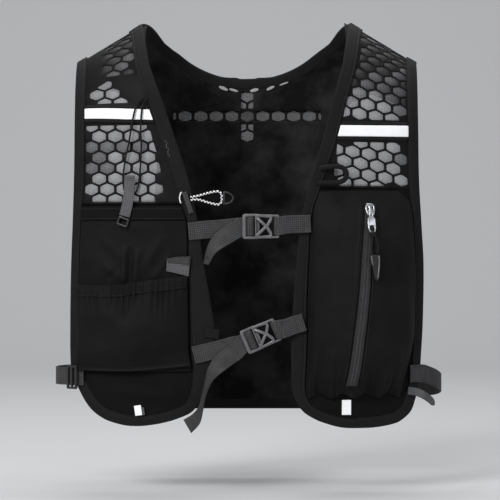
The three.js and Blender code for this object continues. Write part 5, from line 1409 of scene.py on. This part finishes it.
def ribbonPiece(name, at, wide, width, material, nodes, slot="webbing", wall=1.4, bead=0.12, cup=0.0,
                tip=0.0):
    # A flat tape: round selvedges with a fine bead along them, through stations and width directions.
    at, wide = np.asarray(at, float), np.array(wide, float)
    for i in range(1, len(wide)):
        if wide[i].dot(wide[i - 1]) < 0:
            wide[i] = -wide[i]
    way = unitWays(at)
    wide -= way * np.sum(wide * way, 1)[:, None]
    wide /= np.linalg.norm(wide, axis=1, keepdims=True)
    out = np.cross(wide, way)
    run = runAlong(at)
    shares = np.array([-1, -0.985, -0.93, -0.86, -0.6, -0.3, 0, 0.3, 0.6, 0.86, 0.93, 0.985, 1])
    top = np.array([0, 0.62, 1 + bead, 0.94, 0.97, 1, 1, 1, 0.97, 0.94, 1 + bead, 0.62, 0])
    width = np.broadcast_to(width, len(at))
    rings, uvRound = [], []
    for turn in (1, -1):
        order = range(len(shares)) if turn == 1 else range(len(shares) - 2, 0, -1)
        for k in order:
            s = shares[k]
            end = 1 - tip * np.clip(1 - (run[-1] - run) / 6, 0, 1)
            rings.append(at + wide * (s * width / 2 * end)[:, None]
                         + out * (turn * top[k] * wall / 2 + cup * (s * s - 0.4)))
            uvRound.append(s * float(np.mean(width)) / 2 + (0 if turn == 1 else 40))
    rings = np.stack(rings, 1)
    verts, faces, uvs = loopMesh(rings, np.array(uvRound), run)
    piece = meshPiece(name, verts, faces, uvs, material, nodes)
    squareUp(piece)
    return piece, (at, wide, out, run, width)


def stitchAcross(band, at, share=0.86, wall=1.4, turn=1):
    # a row of stitches across a tape, at a length along it
    spots, wide, out, run, width = band
    pick = lambda rows: np.array([np.interp(at, run, rows[:, k]) for k in range(3)])
    side = np.linspace(-share, share, 12)[:, None] * float(np.interp(at, run, width)) / 2
    way = pick(out) * turn
    return pick(spots) + pick(wide) * side + way * (wall / 2 + 0.05), np.repeat(way[None], 12, 0)


def stitchAlong(band, share, start, stop, turn=1):
    # a row of stitches along a tape, between two lengths
    spots, wide, out, run, width = band
    at = np.linspace(start, stop, 24)
    pick = lambda rows: np.stack([np.interp(at, run, rows[:, k]) for k in range(3)], 1)
    reach = np.interp(at, run, width)[:, None] / 2
    ways = pick(out) * turn
    return pick(spots) + pick(wide) * share * reach + ways * (webbing["wall"] / 2 + 0.05), ways


def roundedBox(x0, y0, x1, y1, radius, steps=5):
    # an outline with round corners
    spots = []
    for cx, cy, turn in ((x1 - radius, y1 - radius, 0), (x0 + radius, y1 - radius, 1),
                         (x0 + radius, y0 + radius, 2), (x1 - radius, y0 + radius, 3)):
        for i in range(steps):
            a = (turn + i / (steps - 1)) * math.pi / 2
            spots.append((cx + radius * math.cos(a), cy + radius * math.sin(a)))
    return spots


def box(x0, y0, x1, y1, radius=0.5):
    return roundedBox(x0, y0, x1, y1, radius, 3)


def platePiece(name, outline, holes, wall, spot, right, out, material, nodes, bevel=0.45, lift=None):
    # A moulded plate: a filled 2D curve with its edges rounded, stood on its own axes.
    curve = bpy.data.curves.new(name, "CURVE")
    curve.dimensions = "2D"
    curve.fill_mode = "BOTH"
    curve.extrude = wall / 2 - bevel
    curve.bevel_depth = bevel
    curve.bevel_resolution = 3
    curve.offset = -bevel
    for ring in [outline] + list(holes):
        spline = curve.splines.new("POLY")
        spline.points.add(len(ring) - 1)
        spline.points.foreach_set("co", np.hstack([np.asarray(ring, float), np.zeros((len(ring), 1)),
                                                   np.ones((len(ring), 1))]).ravel())
        spline.use_cyclic_u = True
    holder = bpy.data.objects.new(name + "Curve", curve)
    scene.collection.objects.link(holder)
    mesh = bpy.data.meshes.new_from_object(holder.evaluated_get(bpy.context.evaluated_depsgraph_get()))
    flat = np.empty(len(mesh.vertices) * 3)
    mesh.vertices.foreach_get("co", flat)
    flat = flat.reshape(-1, 3)
    faces = [tuple(p.vertices) for p in mesh.polygons]
    bpy.data.objects.remove(holder)
    bpy.data.curves.remove(curve)
    bpy.data.meshes.remove(mesh)
    out = np.asarray(out, float) / np.linalg.norm(out)
    right = np.asarray(right, float) - out * np.dot(right, out)
    right /= np.linalg.norm(right)
    up = np.cross(out, right)
    if lift is not None:
        flat[:, 2] += lift(flat[:, 0], flat[:, 1])
    verts = np.asarray(spot) + flat[:, :1] * right + flat[:, 1:2] * up + (flat[:, 2:] + wall / 2) * out
    piece = meshPiece(name, verts, faces, flat[:, :2], material, nodes)
    squareUp(piece)
    return piece


outWay = np.array([0.0, -1, 0])
buckle = {"wall": 2.4, "high": 25, "ladder": 16.6, "hook": 24, "bar": 3, "innerBar": 2.6, "slot": 4,
          "overlap": 4, "float": 1.8, "spare": 0.7}
tailOut = buckle["float"] + webbing["wall"] * 1.5 + buckle["wall"] + 2 * webbing["gap"]
hookTop = tailOut + buckle["wall"] + webbing["gap"]


def layTape(route):
    # like laidPath, with a route's fourth number twisting the tape, in degrees
    route = np.array([tuple(r) + (0,) * (4 - len(r)) for r in route], float)
    fine = splineThrough(route, max(10, int(lengthOf(route[:, :2]) / 1.1)))
    way = unitWays(fine[:, :2])
    turn = np.radians(fine[:, 3])[:, None]
    flat = np.stack([way[:, 1], 0 * way[:, 0], way[:, 0]], 1)
    return skin(fine[:, 0], fine[:, 1], -1, fine[:, 2]), flat * np.cos(turn) + outWay * np.sin(turn)


def joinTape(runs):
    # one smooth middle line and width direction through all the runs of a tape
    at = np.vstack([r[0] for r in runs])
    wide = np.vstack([np.broadcast_to(r[1], r[0].shape) for r in runs]).copy()
    for i in range(1, len(wide)):
        if wide[i].dot(wide[i - 1]) < 0:
            wide[i] = -wide[i]
    rows = splineThrough(np.hstack([at, wide]), int(lengthOf(at) / 0.9))
    return rows[:, :3], rows[:, 3:]


def chestStrap(name, spotX, spotD, rise, leftRoute, tailRoute, rightRoute):
    # one strap: ladder and hook plates, the left tape with its tail, and the right tape
    middle = skin(spotX, spotD)
    along = np.array([math.cos(rise), 0, math.sin(rise)])
    across = np.array([-math.sin(rise), 0, math.cos(rise)])
    local = lambda a, out: middle + along * a + outWay * out
    frameLow = buckle["float"] + webbing["wall"] + webbing["gap"]
    hookLow = frameLow + buckle["wall"] + webbing["gap"]
    halfHigh, halfWide = buckle["high"] / 2, webbing["wide"] / 2
    centreBar = buckle["bar"] + buckle["slot"]
    wideLadder = buckle["ladder"] + buckle["bar"] - buckle["innerBar"]
    outline = roundedBox(0, -halfHigh, wideLadder, halfHigh, 2.4)
    # small teeth along the slot's edge grip the tape
    teeth = [(buckle["bar"] + (0.55 if i % 2 else 0), mix(-halfWide - 0.4, halfWide + 0.4, i / 18))
             for i in range(19)]
    slotHalf = halfWide + buckle["spare"]
    slotNear = [(centreBar, slotHalf), (buckle["bar"], slotHalf)] + teeth[::-1] + [
        (buckle["bar"], -slotHalf), (centreBar, -slotHalf)]
    farSlot = centreBar + buckle["innerBar"]
    slotFar = box(farSlot, -halfWide - 0.9, farSlot + buckle["slot"], halfWide + 0.9)
    # the plate is slightly crowned, and its near end is lifted
    crowned = lambda x, y: (0.25 * np.cos(np.clip(y / halfHigh, -1, 1) * math.pi / 2)
                            + 2.2 * (1 - smooth(x, 2, 9)))
    platePiece(name + "BuckleLadder", outline, [slotNear, slotFar], buckle["wall"], local(0, frameLow), along,
               outWay, greyAcetal, name + "_buckle_ladder", 0.55, crowned)

    hookFrom = buckle["ladder"] - buckle["overlap"]
    tall = halfHigh - 0.5
    farTall = halfWide + 2.6
    shoulder, hookEnd = 6, buckle["hook"]
    hookOutline = softened([(0, -tall), (shoulder, -tall), (hookEnd, -farTall), (hookEnd, farTall),
                            (shoulder, tall), (0, tall)], 1.6)
    crossAt = 0.46 * buckle["hook"]
    barAt = buckle["hook"] - buckle["bar"]
    arm = 1.5
    slotFrom = barAt - buckle["slot"]
    windows = [
        [(arm * 2.2, tall - 2.4), (crossAt, arm * 1.3), (slotFrom - arm * 1.4, tall - 3.4)],
        [(slotFrom - arm * 1.4, 3.4 - tall), (crossAt, -arm * 1.3), (arm * 2.2, 2.4 - tall)],
        [(1.2, 4.6 - tall), (crossAt - arm * 1.4, 0), (1.2, tall - 4.6)],
        [(crossAt + arm * 1.4, 0), (slotFrom, -slotHalf * 0.62), (slotFrom, -slotHalf), (barAt, -slotHalf),
         (barAt, slotHalf), (slotFrom, slotHalf), (slotFrom, slotHalf * 0.62)],
    ]
    windows = [softened(window, 0.6) for window in windows]
    lean = lambda x: np.where(x < crossAt, (x - crossAt) * -0.92, (x - crossAt) * 1.55)
    ridge = lambda x, y: 0.9 * np.exp(-((np.abs(y) - lean(x)) / 1.5) ** 2) * (x < slotFrom)
    platePiece(name + "BuckleHook", hookOutline, windows, buckle["wall"], local(hookFrom, hookLow), along,
               outWay, greyAcetal, name + "_buckle_hook", 0.55, ridge)

    turnRadius = (buckle["wall"] + webbing["wall"]) / 2 + webbing["gap"]
    barMiddle = centreBar + buckle["innerBar"] / 2
    angle = np.linspace(-math.pi / 2, math.pi / 2, 16)
    turn = np.array([local(barMiddle + (turnRadius + 0.5) * math.cos(a),
                           frameLow + buckle["wall"] / 2 + turnRadius * math.sin(a)) for a in angle])
    under = np.array([local(-2, frameLow + buckle["wall"] / 2 - turnRadius)])
    # over the bar, down through the toothed slot and out below the near bar
    over = np.array([local(a, out) for a, out in ((6.2, 7.1), (4.4, 6.0), (2.6, 5.1), (-0.5, 4.7))])
    left = joinTape([layTape(leftRoute), (under, across), (turn, across), (over, across), layTape(tailRoute)])
    _, band = ribbonPiece(name + "StrapLeft", *left, webbing["wide"], greyWebbing, name + "_strap_left")
    for at in (2.0, 5.6):
        greyRows.append(stitchAcross(band, at, 0.9, turn=facingTurn(band, at)))
    end = band[3][-1]
    for at in (end - 7.5, end - 6.2):
        greyRows.extend(stitchAcross(band, at, 0.84, turn=turn) for turn in (1, -1))

    barCentre = hookFrom + buckle["hook"] - buckle["bar"] / 2
    hookMiddle = hookLow + buckle["wall"] / 2
    angle = np.linspace(math.pi / 2, 3 * math.pi / 2, 16)
    turn = np.array([local(barCentre + (turnRadius + 0.5) * math.cos(a),
                           hookMiddle + turnRadius * math.sin(a)) for a in angle])
    at, wide = layTape(rightRoute[1:3])
    low = (at + np.array([0, 1, 0]) * (webbing["wall"] + webbing["gap"]), wide)
    top = layTape(rightRoute)
    right = joinTape([(top[0][::-1], top[1][::-1]), (turn, across), low])
    _, band = ribbonPiece(name + "StrapRight", *right, webbing["wide"], greyWebbing, name + "_strap_right")
    for at in (2.0, 7.6, 8.9):
        greyRows.append(stitchAcross(band, at, 0.9, turn=facingTurn(band, at)))


def facingTurn(band, at):
    # 1 where the tape's outer face looks forwards there
    out = np.array([np.interp(at, band[3], band[2][:, k]) for k in range(3)])
    return 1 if out[1] < 0 else -1


chestStrap("upper", -4.5, 208.5, 0, [
    (-58.5, 213.4, onPanel), (-50, 212.6, onPanel), (-43, 211.8, onPanel), (-32, 211, 3.2), (-18, 209.8, 2.6),
], [
    (-9, 210.6, 5.0), (-18, 216, tailOut + 0.6, 8), (-28, 223.5, tailOut + 4, 30),
    (-35.5, 233, tailOut + 6.4, 58), (-40.5, 246, tailOut + 7.4, 76),
], [
    (38, 206.6, hookTop - 0.6), (45, 206.2, hookTop - 2.2), (53, 206, overPanel), (63.5, 205.6, overPanel),
])
chestStrap("lower", -3, 325, 0.4, [
    (-53.5, 337.5, onPanel), (-42, 334.6, onPanel), (-30, 331.6, onPanel), (-22, 329.8, 3.2),
    (-14, 327.6, 2.6),
], [
    (-12, 334, 5.6), (-22, 341, tailOut + 0.6, 10), (-31, 350, tailOut + 4.4, 38),
    (-38, 362, tailOut + 7, 70), (-43, 378, tailOut + 7.4, 80), (-46, 391, tailOut + 6.4, 74),
    (-51, 401, tailOut + 5, 52), (-59, 408, tailOut + 3.6, 36),
], [
    (34.5, 311.4, hookTop - 0.6), (40, 309.6, hookTop - 2.2), (47, 307, overPanel), (57, 304, overPanel),
])
print("chest straps made")

# the side straps
vertical = np.array([0.0, 0, 1])


def sideStrap(name, hand, side, rises, dropBy, bulgeBy, node):
    # a strap from the front panel round the side to the back
    outer = limitsOf(side)[1]
    frontDown, backDown = (long - rise for rise in rises)
    onFront = [skin(hand * (outer(frontDown) + r), frontDown, -1, onPanel) for r in (-2.4, 3.4, 10.9)]
    onBack = [skin(hand * x, backDown, 1, onPanel) for x in (126, 118, 110)]
    angle = np.linspace(-0.4, 0.88, 9)
    sag = np.sin((np.arange(9) + 0.5) / 9 * math.pi)
    power = 2 / body["roundness"]
    x = (body["torsoHalf"] - 8 + onPanel + bulgeBy * sag) * np.cos(angle) ** power
    y = (body["chestDepth"] * 0.93 + onPanel) * np.sign(angle) * np.abs(np.sin(angle)) ** power
    z = -mix(frontDown, backDown, (np.arange(9) + 0.5) / 9) - dropBy * sag
    spots = np.vstack([onFront, np.stack([hand * x, y, z], 1), onBack])
    path = splineThrough(spots, 200)
    _, band = ribbonPiece(name, path, np.repeat(vertical[None], len(path), 0), webbing["wide"], greyWebbing,
                          node)
    for share in (-0.84, 0.84):
        greyRows.append(stitchAlong(band, share, 1.5, 24, turn=facingTurn(band, 5)))
    for at in (2.0, 11, 20):
        greyRows.append(stitchAcross(band, at, 0.84, turn=facingTurn(band, at)))


sideStrap("sideStrapLeft", -1, "left", (47, 46), 1, 1, "side_strap_left")
sideStrap("sideStrapRight", 1, "right", (50, 29), 7, 5, "side_strap_right")

bars = {"middle": 7.5, "lean": (12.4, 20.4), "out": 2.15, "fall": 0.5}
barsDown = long - 47 + bars["fall"]
barsSpot = lambda reach: skin(-(outerLeft(barsDown) + reach), barsDown, -1, onPanel + bars["out"])
near, far = (barsSpot(reach) for reach in bars["lean"])
barsAcross = (near - far) * (1, 1, 0)
barsAcross /= np.linalg.norm(barsAcross)
barsOut = np.cross(barsAcross, vertical)
barsOut *= -np.sign(barsOut[1])
platePiece("sideBuckleLeft", roundedBox(-7, -12, 7, 12, 1.6), [box(-4.6, -9.8, -1, 9.8),
                                                               box(1, -9.6, 4.6, 9.6)], buckle["wall"],
           barsSpot(bars["middle"]), barsAcross, barsOut, blackAcetal, "side_buckle_left", 0.55)
tailSpots = [skin(outerRight(long - rise) + reach, long - rise, -1, onPanel) for reach,
             rise in ((-0.7, 33), (7.8, 31.5))]
tailSpots += [np.array([body["torsoHalf"] - inset, y, rise - long]) for inset, y, rise in
              ((21, -56, 28), (14, -48, 23), (9, -38, 18))]
path = splineThrough(np.array(tailSpots), 44)
ribbonPiece("sideStrapTailRight", path, np.repeat(vertical[None], len(path), 0), 8, paleWebbing,
            "side_strap_tail_right", tip=0.55)
print("side straps made")


def tabPiece(name, route, width, material, node, wall=1.4, slot="webbing", stitches=()):
    # a short tape on the body, stitched across at shares of its length
    at, wide = laidPath(route, 0.9)
    width = np.linspace(*width, len(at)) if isinstance(width, tuple) else width
    _, band = ribbonPiece(name, at, wide, width, material, node, slot, wall)
    for share in stitches:
        where = share * band[3][-1]
        greyRows.append(stitchAcross(band, where, 0.8, wall, facingTurn(band, where)))
    return band


tabLift = layerTwo + 0.8 + 0.9 + webbing["gap"] + webbing["wall"] / 2
tabPiece("flaskStrapTab", [(-116.2, 157, tabLift), (-116.8, 172, tabLift), (-118, 185, tabLift + 1.4),
                           (-121, 198, tabLift + 1.6)], 11, paleWebbing, "flask_strap_tab",
         stitches=(0.07, 0.12))
at = lambda x, d, lift: skin(x, d, -1, lift)
platePiece("flaskStrapRing", roundedBox(-5.8, -4.6, 5.8, 4.6, 1.5), [roundedBox(-4, -2.6, 4, 2.6, 0.7)], 2.0,
           at(-122.6, 203.6, tabLift + 0.4),
           at(-120, 204.8, 0) - at(-126, 202.6, 0), at(-123, 203, 5) - at(-123, 203, 0), blackAcetal,
           "flask_strap_ring", 0.6)
tabPiece("elasticKeeper", [(-62.5, 174, onPanel), (-59, 184, onPanel + 1.2), (-55.5, 195, onPanel)], 5,
         greyWebbing, "elastic_keeper", stitches=(0.1, 0.9))
fanLift = onPanel + 0.9
tabPiece("webbingFanTab", [(-80, 246.8, fanLift), (-70, 247.4, fanLift), (-57.2, 248.6, fanLift)], (13, 20),
         paleWebbing, "webbing_fan_tab")
tabPiece("webbingFanFold", [(-79, 242.4, fanLift + 1.5), (-70, 241.8, fanLift + 1.6),
                            (-57.6, 242.8, fanLift + 1.4)], (4, 9), greyWebbing, None, wall=0.9)
tabPiece("strapKeeperTab", [(-42, 314.5, onPanel), (-35, 315.5, onPanel), (-28, 316.5, onPanel)], 9.5,
         bindingTape, "strap_keeper_tab", stitches=(0.12,))
tabPiece("bottomTabLeft", [(-109.4, long - 19, layerTwo + 0.5), (-108, long - 9, layerTwo + 0.5)], 7.2,
         reflectiveTape, "bottom_tab_left", 1.0, "reflective")
# a darker strip at the left tab's right edge: its curl, painted darker as shade
tabPiece("bottomTabShadedCurl", [(-104.6, long - 17, layerTwo + 0.4), (-103.4, long - 9.4, layerTwo + 0.4)], 3.2,
         paleWebbing, None, 0.9)
tabPiece("bottomTabRight", [(99.6, long - 24.5, layerOne + 0.5), (99.6, long - 9.5, layerOne + 0.5)], 9.4,
         reflectiveTape, "bottom_tab_right", 1.0, "reflective")
print("tabs made")

# cords and the hose loop
flaskLift = layerTwo + 0.8
flaskRoute = [
    (-101, 78, 0), (-107, 83, 0.6), (-110.5, 90, 1.4), (-113.5, 102, 1.4), (-117, 122, 0.4), (-121, 141, 0),
    (-123.5, 158, -1.2), (-122.5, 172, -1.4), (-117, 177, -1.4), (-111, 174, -1.4), (-108, 166, -1.2),
    (-106.2, 150, 0), (-105.2, 130, 0), (-105.6, 110, 0.6), (-104.4, 92, 1.4), (-102, 84, 1),
    (-98.4, 79.5, 0),
]
spots = [at(x, d, flaskLift + lift) for x, d, lift in flaskRoute]
flaskCord, flaskPath = tubePiece("flaskLoopCord", spots, 0.9, blackCord, "flask_loop_cord",
                                 braid=0.07)
cordRoute = [
    (-56.4, 179.2, 7.6), (-48, 177.6, 8.4), (-38, 174.8, 8.4), (-29, 173.4, 8.4), (-25.6, 176, 8.4),
    (-25.2, 180, 8.4), (-25.6, 184, 8.4), (-29, 186.4, 8.4), (-38, 184.6, 8.4), (-48, 181.6, 8.4),
    (-56.4, 181.8, 7.6),
]
spots = [at(x, d, lift) for x, d, lift in cordRoute]
shineCord, shinePath = tubePiece("reflectiveCordLoop", spots, 1.1, fleckedCord, "reflective_cord_loop",
                                 braid=0.1)
keeperArc = [at(x, d, onPanel + 1.4) for x, d in ((-65, 173.6), (-66.6, 177), (-67, 181), (-65.6, 185.4))]
tubePiece("keeperArc", keeperArc, 0.55, reflectiveTape, None, 0.8, 8)
hookOutline = [(-0.2, -6.4)] + [(1.4 + 8.8 * math.cos(a), 6.4 * math.sin(a))
                                for a in np.linspace(-1.57, 1.57, 22)] + [(-0.2, 6.4)]
hookHole = [(1.3, -4.9)] + [(1.4 + 7.2 * math.cos(a), 4.9 * math.sin(a))
                            for a in np.linspace(-1.57, 1.57, 22)] + [(1.3, 4.9)]
platePiece("cordEndHook", hookOutline, [hookHole], 1.8, at(-23.4, 180, 7.4), (1, 0, 0),
           at(-23.4, 180, 5) - at(-23.4, 180, 0), blackAcetal, "cord_end_hook", 0.4)
hoseRoute = [
    (71.5, 150.4, 0), (80, 149, 1.4), (90, 148.4, 2.4), (96, 151, 2.6), (98.4, 156.4, 2.6), (96, 161.6, 2.6),
    (90, 164.2, 2.4), (80, 164.6, 1.4), (70, 165, 0),
]
hoseLift = layerTwo + 2.6
spots = [at(x, d, hoseLift + lift) for x, d, lift in hoseRoute]
tubePiece("hoseLoop", spots, 2.6, bindingTape, "hose_loop_right", sides=16, braid=0.02)
print("cords made")


# the zip's slider and pull, and the grip on its cord
def zipFrame(x, d, extra):
    # a point above the pocket, with the directions across and out there
    reach = 4.0
    spot = lambda a, b: onZipPocket(a, b, 0.0)
    rightWay = spot(x + reach, d) - spot(x - reach, d)
    downWay = spot(x, d + reach) - spot(x, d - reach)
    out = np.cross(downWay, rightWay)
    out /= np.linalg.norm(out)
    return spot(x, d) + out * extra, rightWay, out


def onZip(name, outline, holes, wall, x, d, extra, material, node, slot, bevel, lift=None):
    spot, right, out = zipFrame(x, d, extra)
    return platePiece(name, outline, holes, wall, spot, right, out, material, node, bevel, lift)


sliderSpot = (half * 0.681, 195)
sliderOutline = softened([(-3.4, -4.6), (3.4, -4.6), (5.2, 2), (4.6, 6.4), (2.4, 8.4), (-2.4, 8.4),
                          (-4.6, 6.4), (-5.2, 2)], 1.4)
onZip("zipSlider", sliderOutline, [box(-3, 1.2, -1.7, 5.2, 0.5), box(1.7, 1.2, 3, 5.2, 0.5)], 3.2,
      *sliderSpot, 3.1, platedZinc, "zip_slider", "metal", 0.8,
      lambda x, y: 0.5 * np.exp(-(x / 1.6) ** 2) * np.exp(-((y - 1) / 4.5) ** 2))
onZip("sliderBridge", roundedBox(-1.3, -3.4, 1.3, 4.2, 1.2), [], 1.3, *sliderSpot, 6.2, platedZinc, None,
      "metal", 0.5)
pullSpot = (sliderSpot[0] - 0.4, sliderSpot[1] + 11)
pullOutline = softened([(-1.7, 11.5), (-2, 6.4), (-4, 3.6), (-4.1, -6), (-2.8, -10.5), (2.8, -10.5),
                        (4.1, -6), (4, 3.6), (2, 6.4), (1.7, 11.5)], 1.1)
onZip("zipPull", pullOutline, [roundedBox(-2.3, -9, 2.3, -3.4, 1.1), box(-0.8, 6.4, 0.8, 9.6, 0.6)], 1.4,
      *pullSpot, 6.9, platedZinc, "zip_pull", "metal", 0.5)
gripSpot = (pullSpot[0] + 0.6, pullSpot[1] + 42)
gripOutline = softened([(-3.4, 11), (5.4, 11), (6, 3), (4.6, -13), (2.6, -15), (1, -13), (-2, 3)], 1.5)
onZip("pullerGrip", gripOutline, [], 3.2, *gripSpot, 5.5, matteRubber, "puller_grip", "plastic", 0.9,
      lambda x, y: 0.18 * np.cos(y * 2 * math.pi / 2.6) * (y < 6) * (y > -10))
gripAt, gripRight, gripOut = zipFrame(*gripSpot, 8.9)
gripRight = gripRight / np.linalg.norm(gripRight)
gripUp = np.cross(gripOut, gripRight)
# two thin rims along the grip's edges, in grey plastic: a painted highlight on the dark grip's lit edges
for name, edge in (("gripRimHighlightRight", [(5.2, 10.4), (5.2, 3), (4.2, -6), (3.4, -12.6)]),
                   ("gripRimHighlightLeft", [(-2.8, 10.4), (-2.4, 6), (-1.4, 0.6)])):
    tubePiece(name, [gripAt + gripRight * a + gripUp * b for a, b in edge], 0.75, greyAcetal, None,
              0.8, 8)
pullAt, _, pullOut = zipFrame(*pullSpot, 6.9)
alongX = np.array([1.0, 0, 0])
pullUp = np.cross(pullOut, alongX)
pullUp /= np.linalg.norm(pullUp)
inPull = [pullAt + alongX * r + pullUp * u + pullOut * o for r, u, o in (
    (2, -13.4, 2.9), (1, -9.6, 3), (0.3, -6.8, 2.2), (0, -5.9, 0.7), (-0.3, -6.8, -1.2), (-0.8, -9.8, -1.9))]
aboveGrip = lambda r, down, extra: zipFrame(gripSpot[0] + r, gripSpot[1] + down, 5.5 + extra)[0]
spots = [aboveGrip(3.2, -11.4, 1.6), aboveGrip(3.6, -18, 2.2), aboveGrip(3, -23, 3.6), *inPull,
         aboveGrip(-1.6, -25, 1.8), aboveGrip(-1.8, -19, 1.8), aboveGrip(-0.8, -11.4, 1.6)]
pullerCord, pullerPath = tubePiece("pullerCord", spots, 1.0, blackCord, "puller_cord", spacing=0.6,
                                   braid=0.08)
print("zip parts made")

# stitches
stitchMesh("blackStitches", blackRows, blackThread, radius=0.26, length=2.2, step=3.1, sink=0.02)
tack = np.array([(-82.4, 122), (-79.4, 124.6), (-81, 128), (-78, 131), (-79.4, 134.6), (-76.6, 138.6)])
tackSpots = skin(tack[:, 0], tack[:, 1], -1, 3.1)
stitchMesh("barTack", [(tackSpots, np.repeat(outWay[None], len(tack), 0))], paleThread,
           radius=0.3, length=1.5, step=2.6)
stitchMesh("greyStitches", greyRows, greyThread, radius=0.24, length=1.7, step=2.3)


def makeFloor():
    # a plain ground that rolls up into a wall behind the part
    steps = 24
    profile = [(-4.5, studio["floorZ"])]
    for i in range(steps + 1):
        a = i / steps * math.pi / 2
        profile.append((studio["wallY"] - studio["bend"] + studio["bend"] * math.sin(a),
                        studio["floorZ"] + studio["bend"] * (1 - math.cos(a))))
    profile.append((studio["wallY"], 4.5))
    verts = [(x * studio["wide"] / 2, y, z) for y, z in profile for x in (-1, 1)]
    faces = [(2 * i, 2 * i + 1, 2 * i + 3, 2 * i + 2) for i in range(len(profile) - 1)]
    mesh = bpy.data.meshes.new("studioFloor")
    mesh.from_pydata(verts, [], faces)
    mesh.polygons.foreach_set("use_smooth", [True] * len(mesh.polygons))
    floor = bpy.data.objects.new("studioFloor", mesh)
    scene.collection.objects.link(floor)
    paint = bpy.data.materials.new("paintedGround")
    paint.use_nodes = True
    shader = paint.node_tree.nodes["Principled BSDF"]
    shader.inputs["Base Color"].default_value = linear(studio["ground"])
    shader.inputs["Roughness"].default_value = 0.9
    mesh.materials.append(paint)


makeFloor()

# each cloth's piece and the size it was cut to are looked up
for name, held, hangsFrom in (("frontPanelLeft", "hung", "mesh_window_left"),
                              ("frontPanelRight", "hung", "mesh_window_right"),
                              ("backPanel", "hung", "back_neck_binding"),
                              ("stashPocket", "stretched", "front_panel_left"),
                              ("bottlePocket", "gathered", "stash_pocket_left"),
                              ("zipPocket", "stretched", "front_panel_right"),
                              ("netWindowLeft", "stretched", "front_binding_left"),
                              ("netWindowRight", "stretched", "front_binding_right")):
    piece, (wide, tall) = cut[name]

print("pieces:", len(pieces))
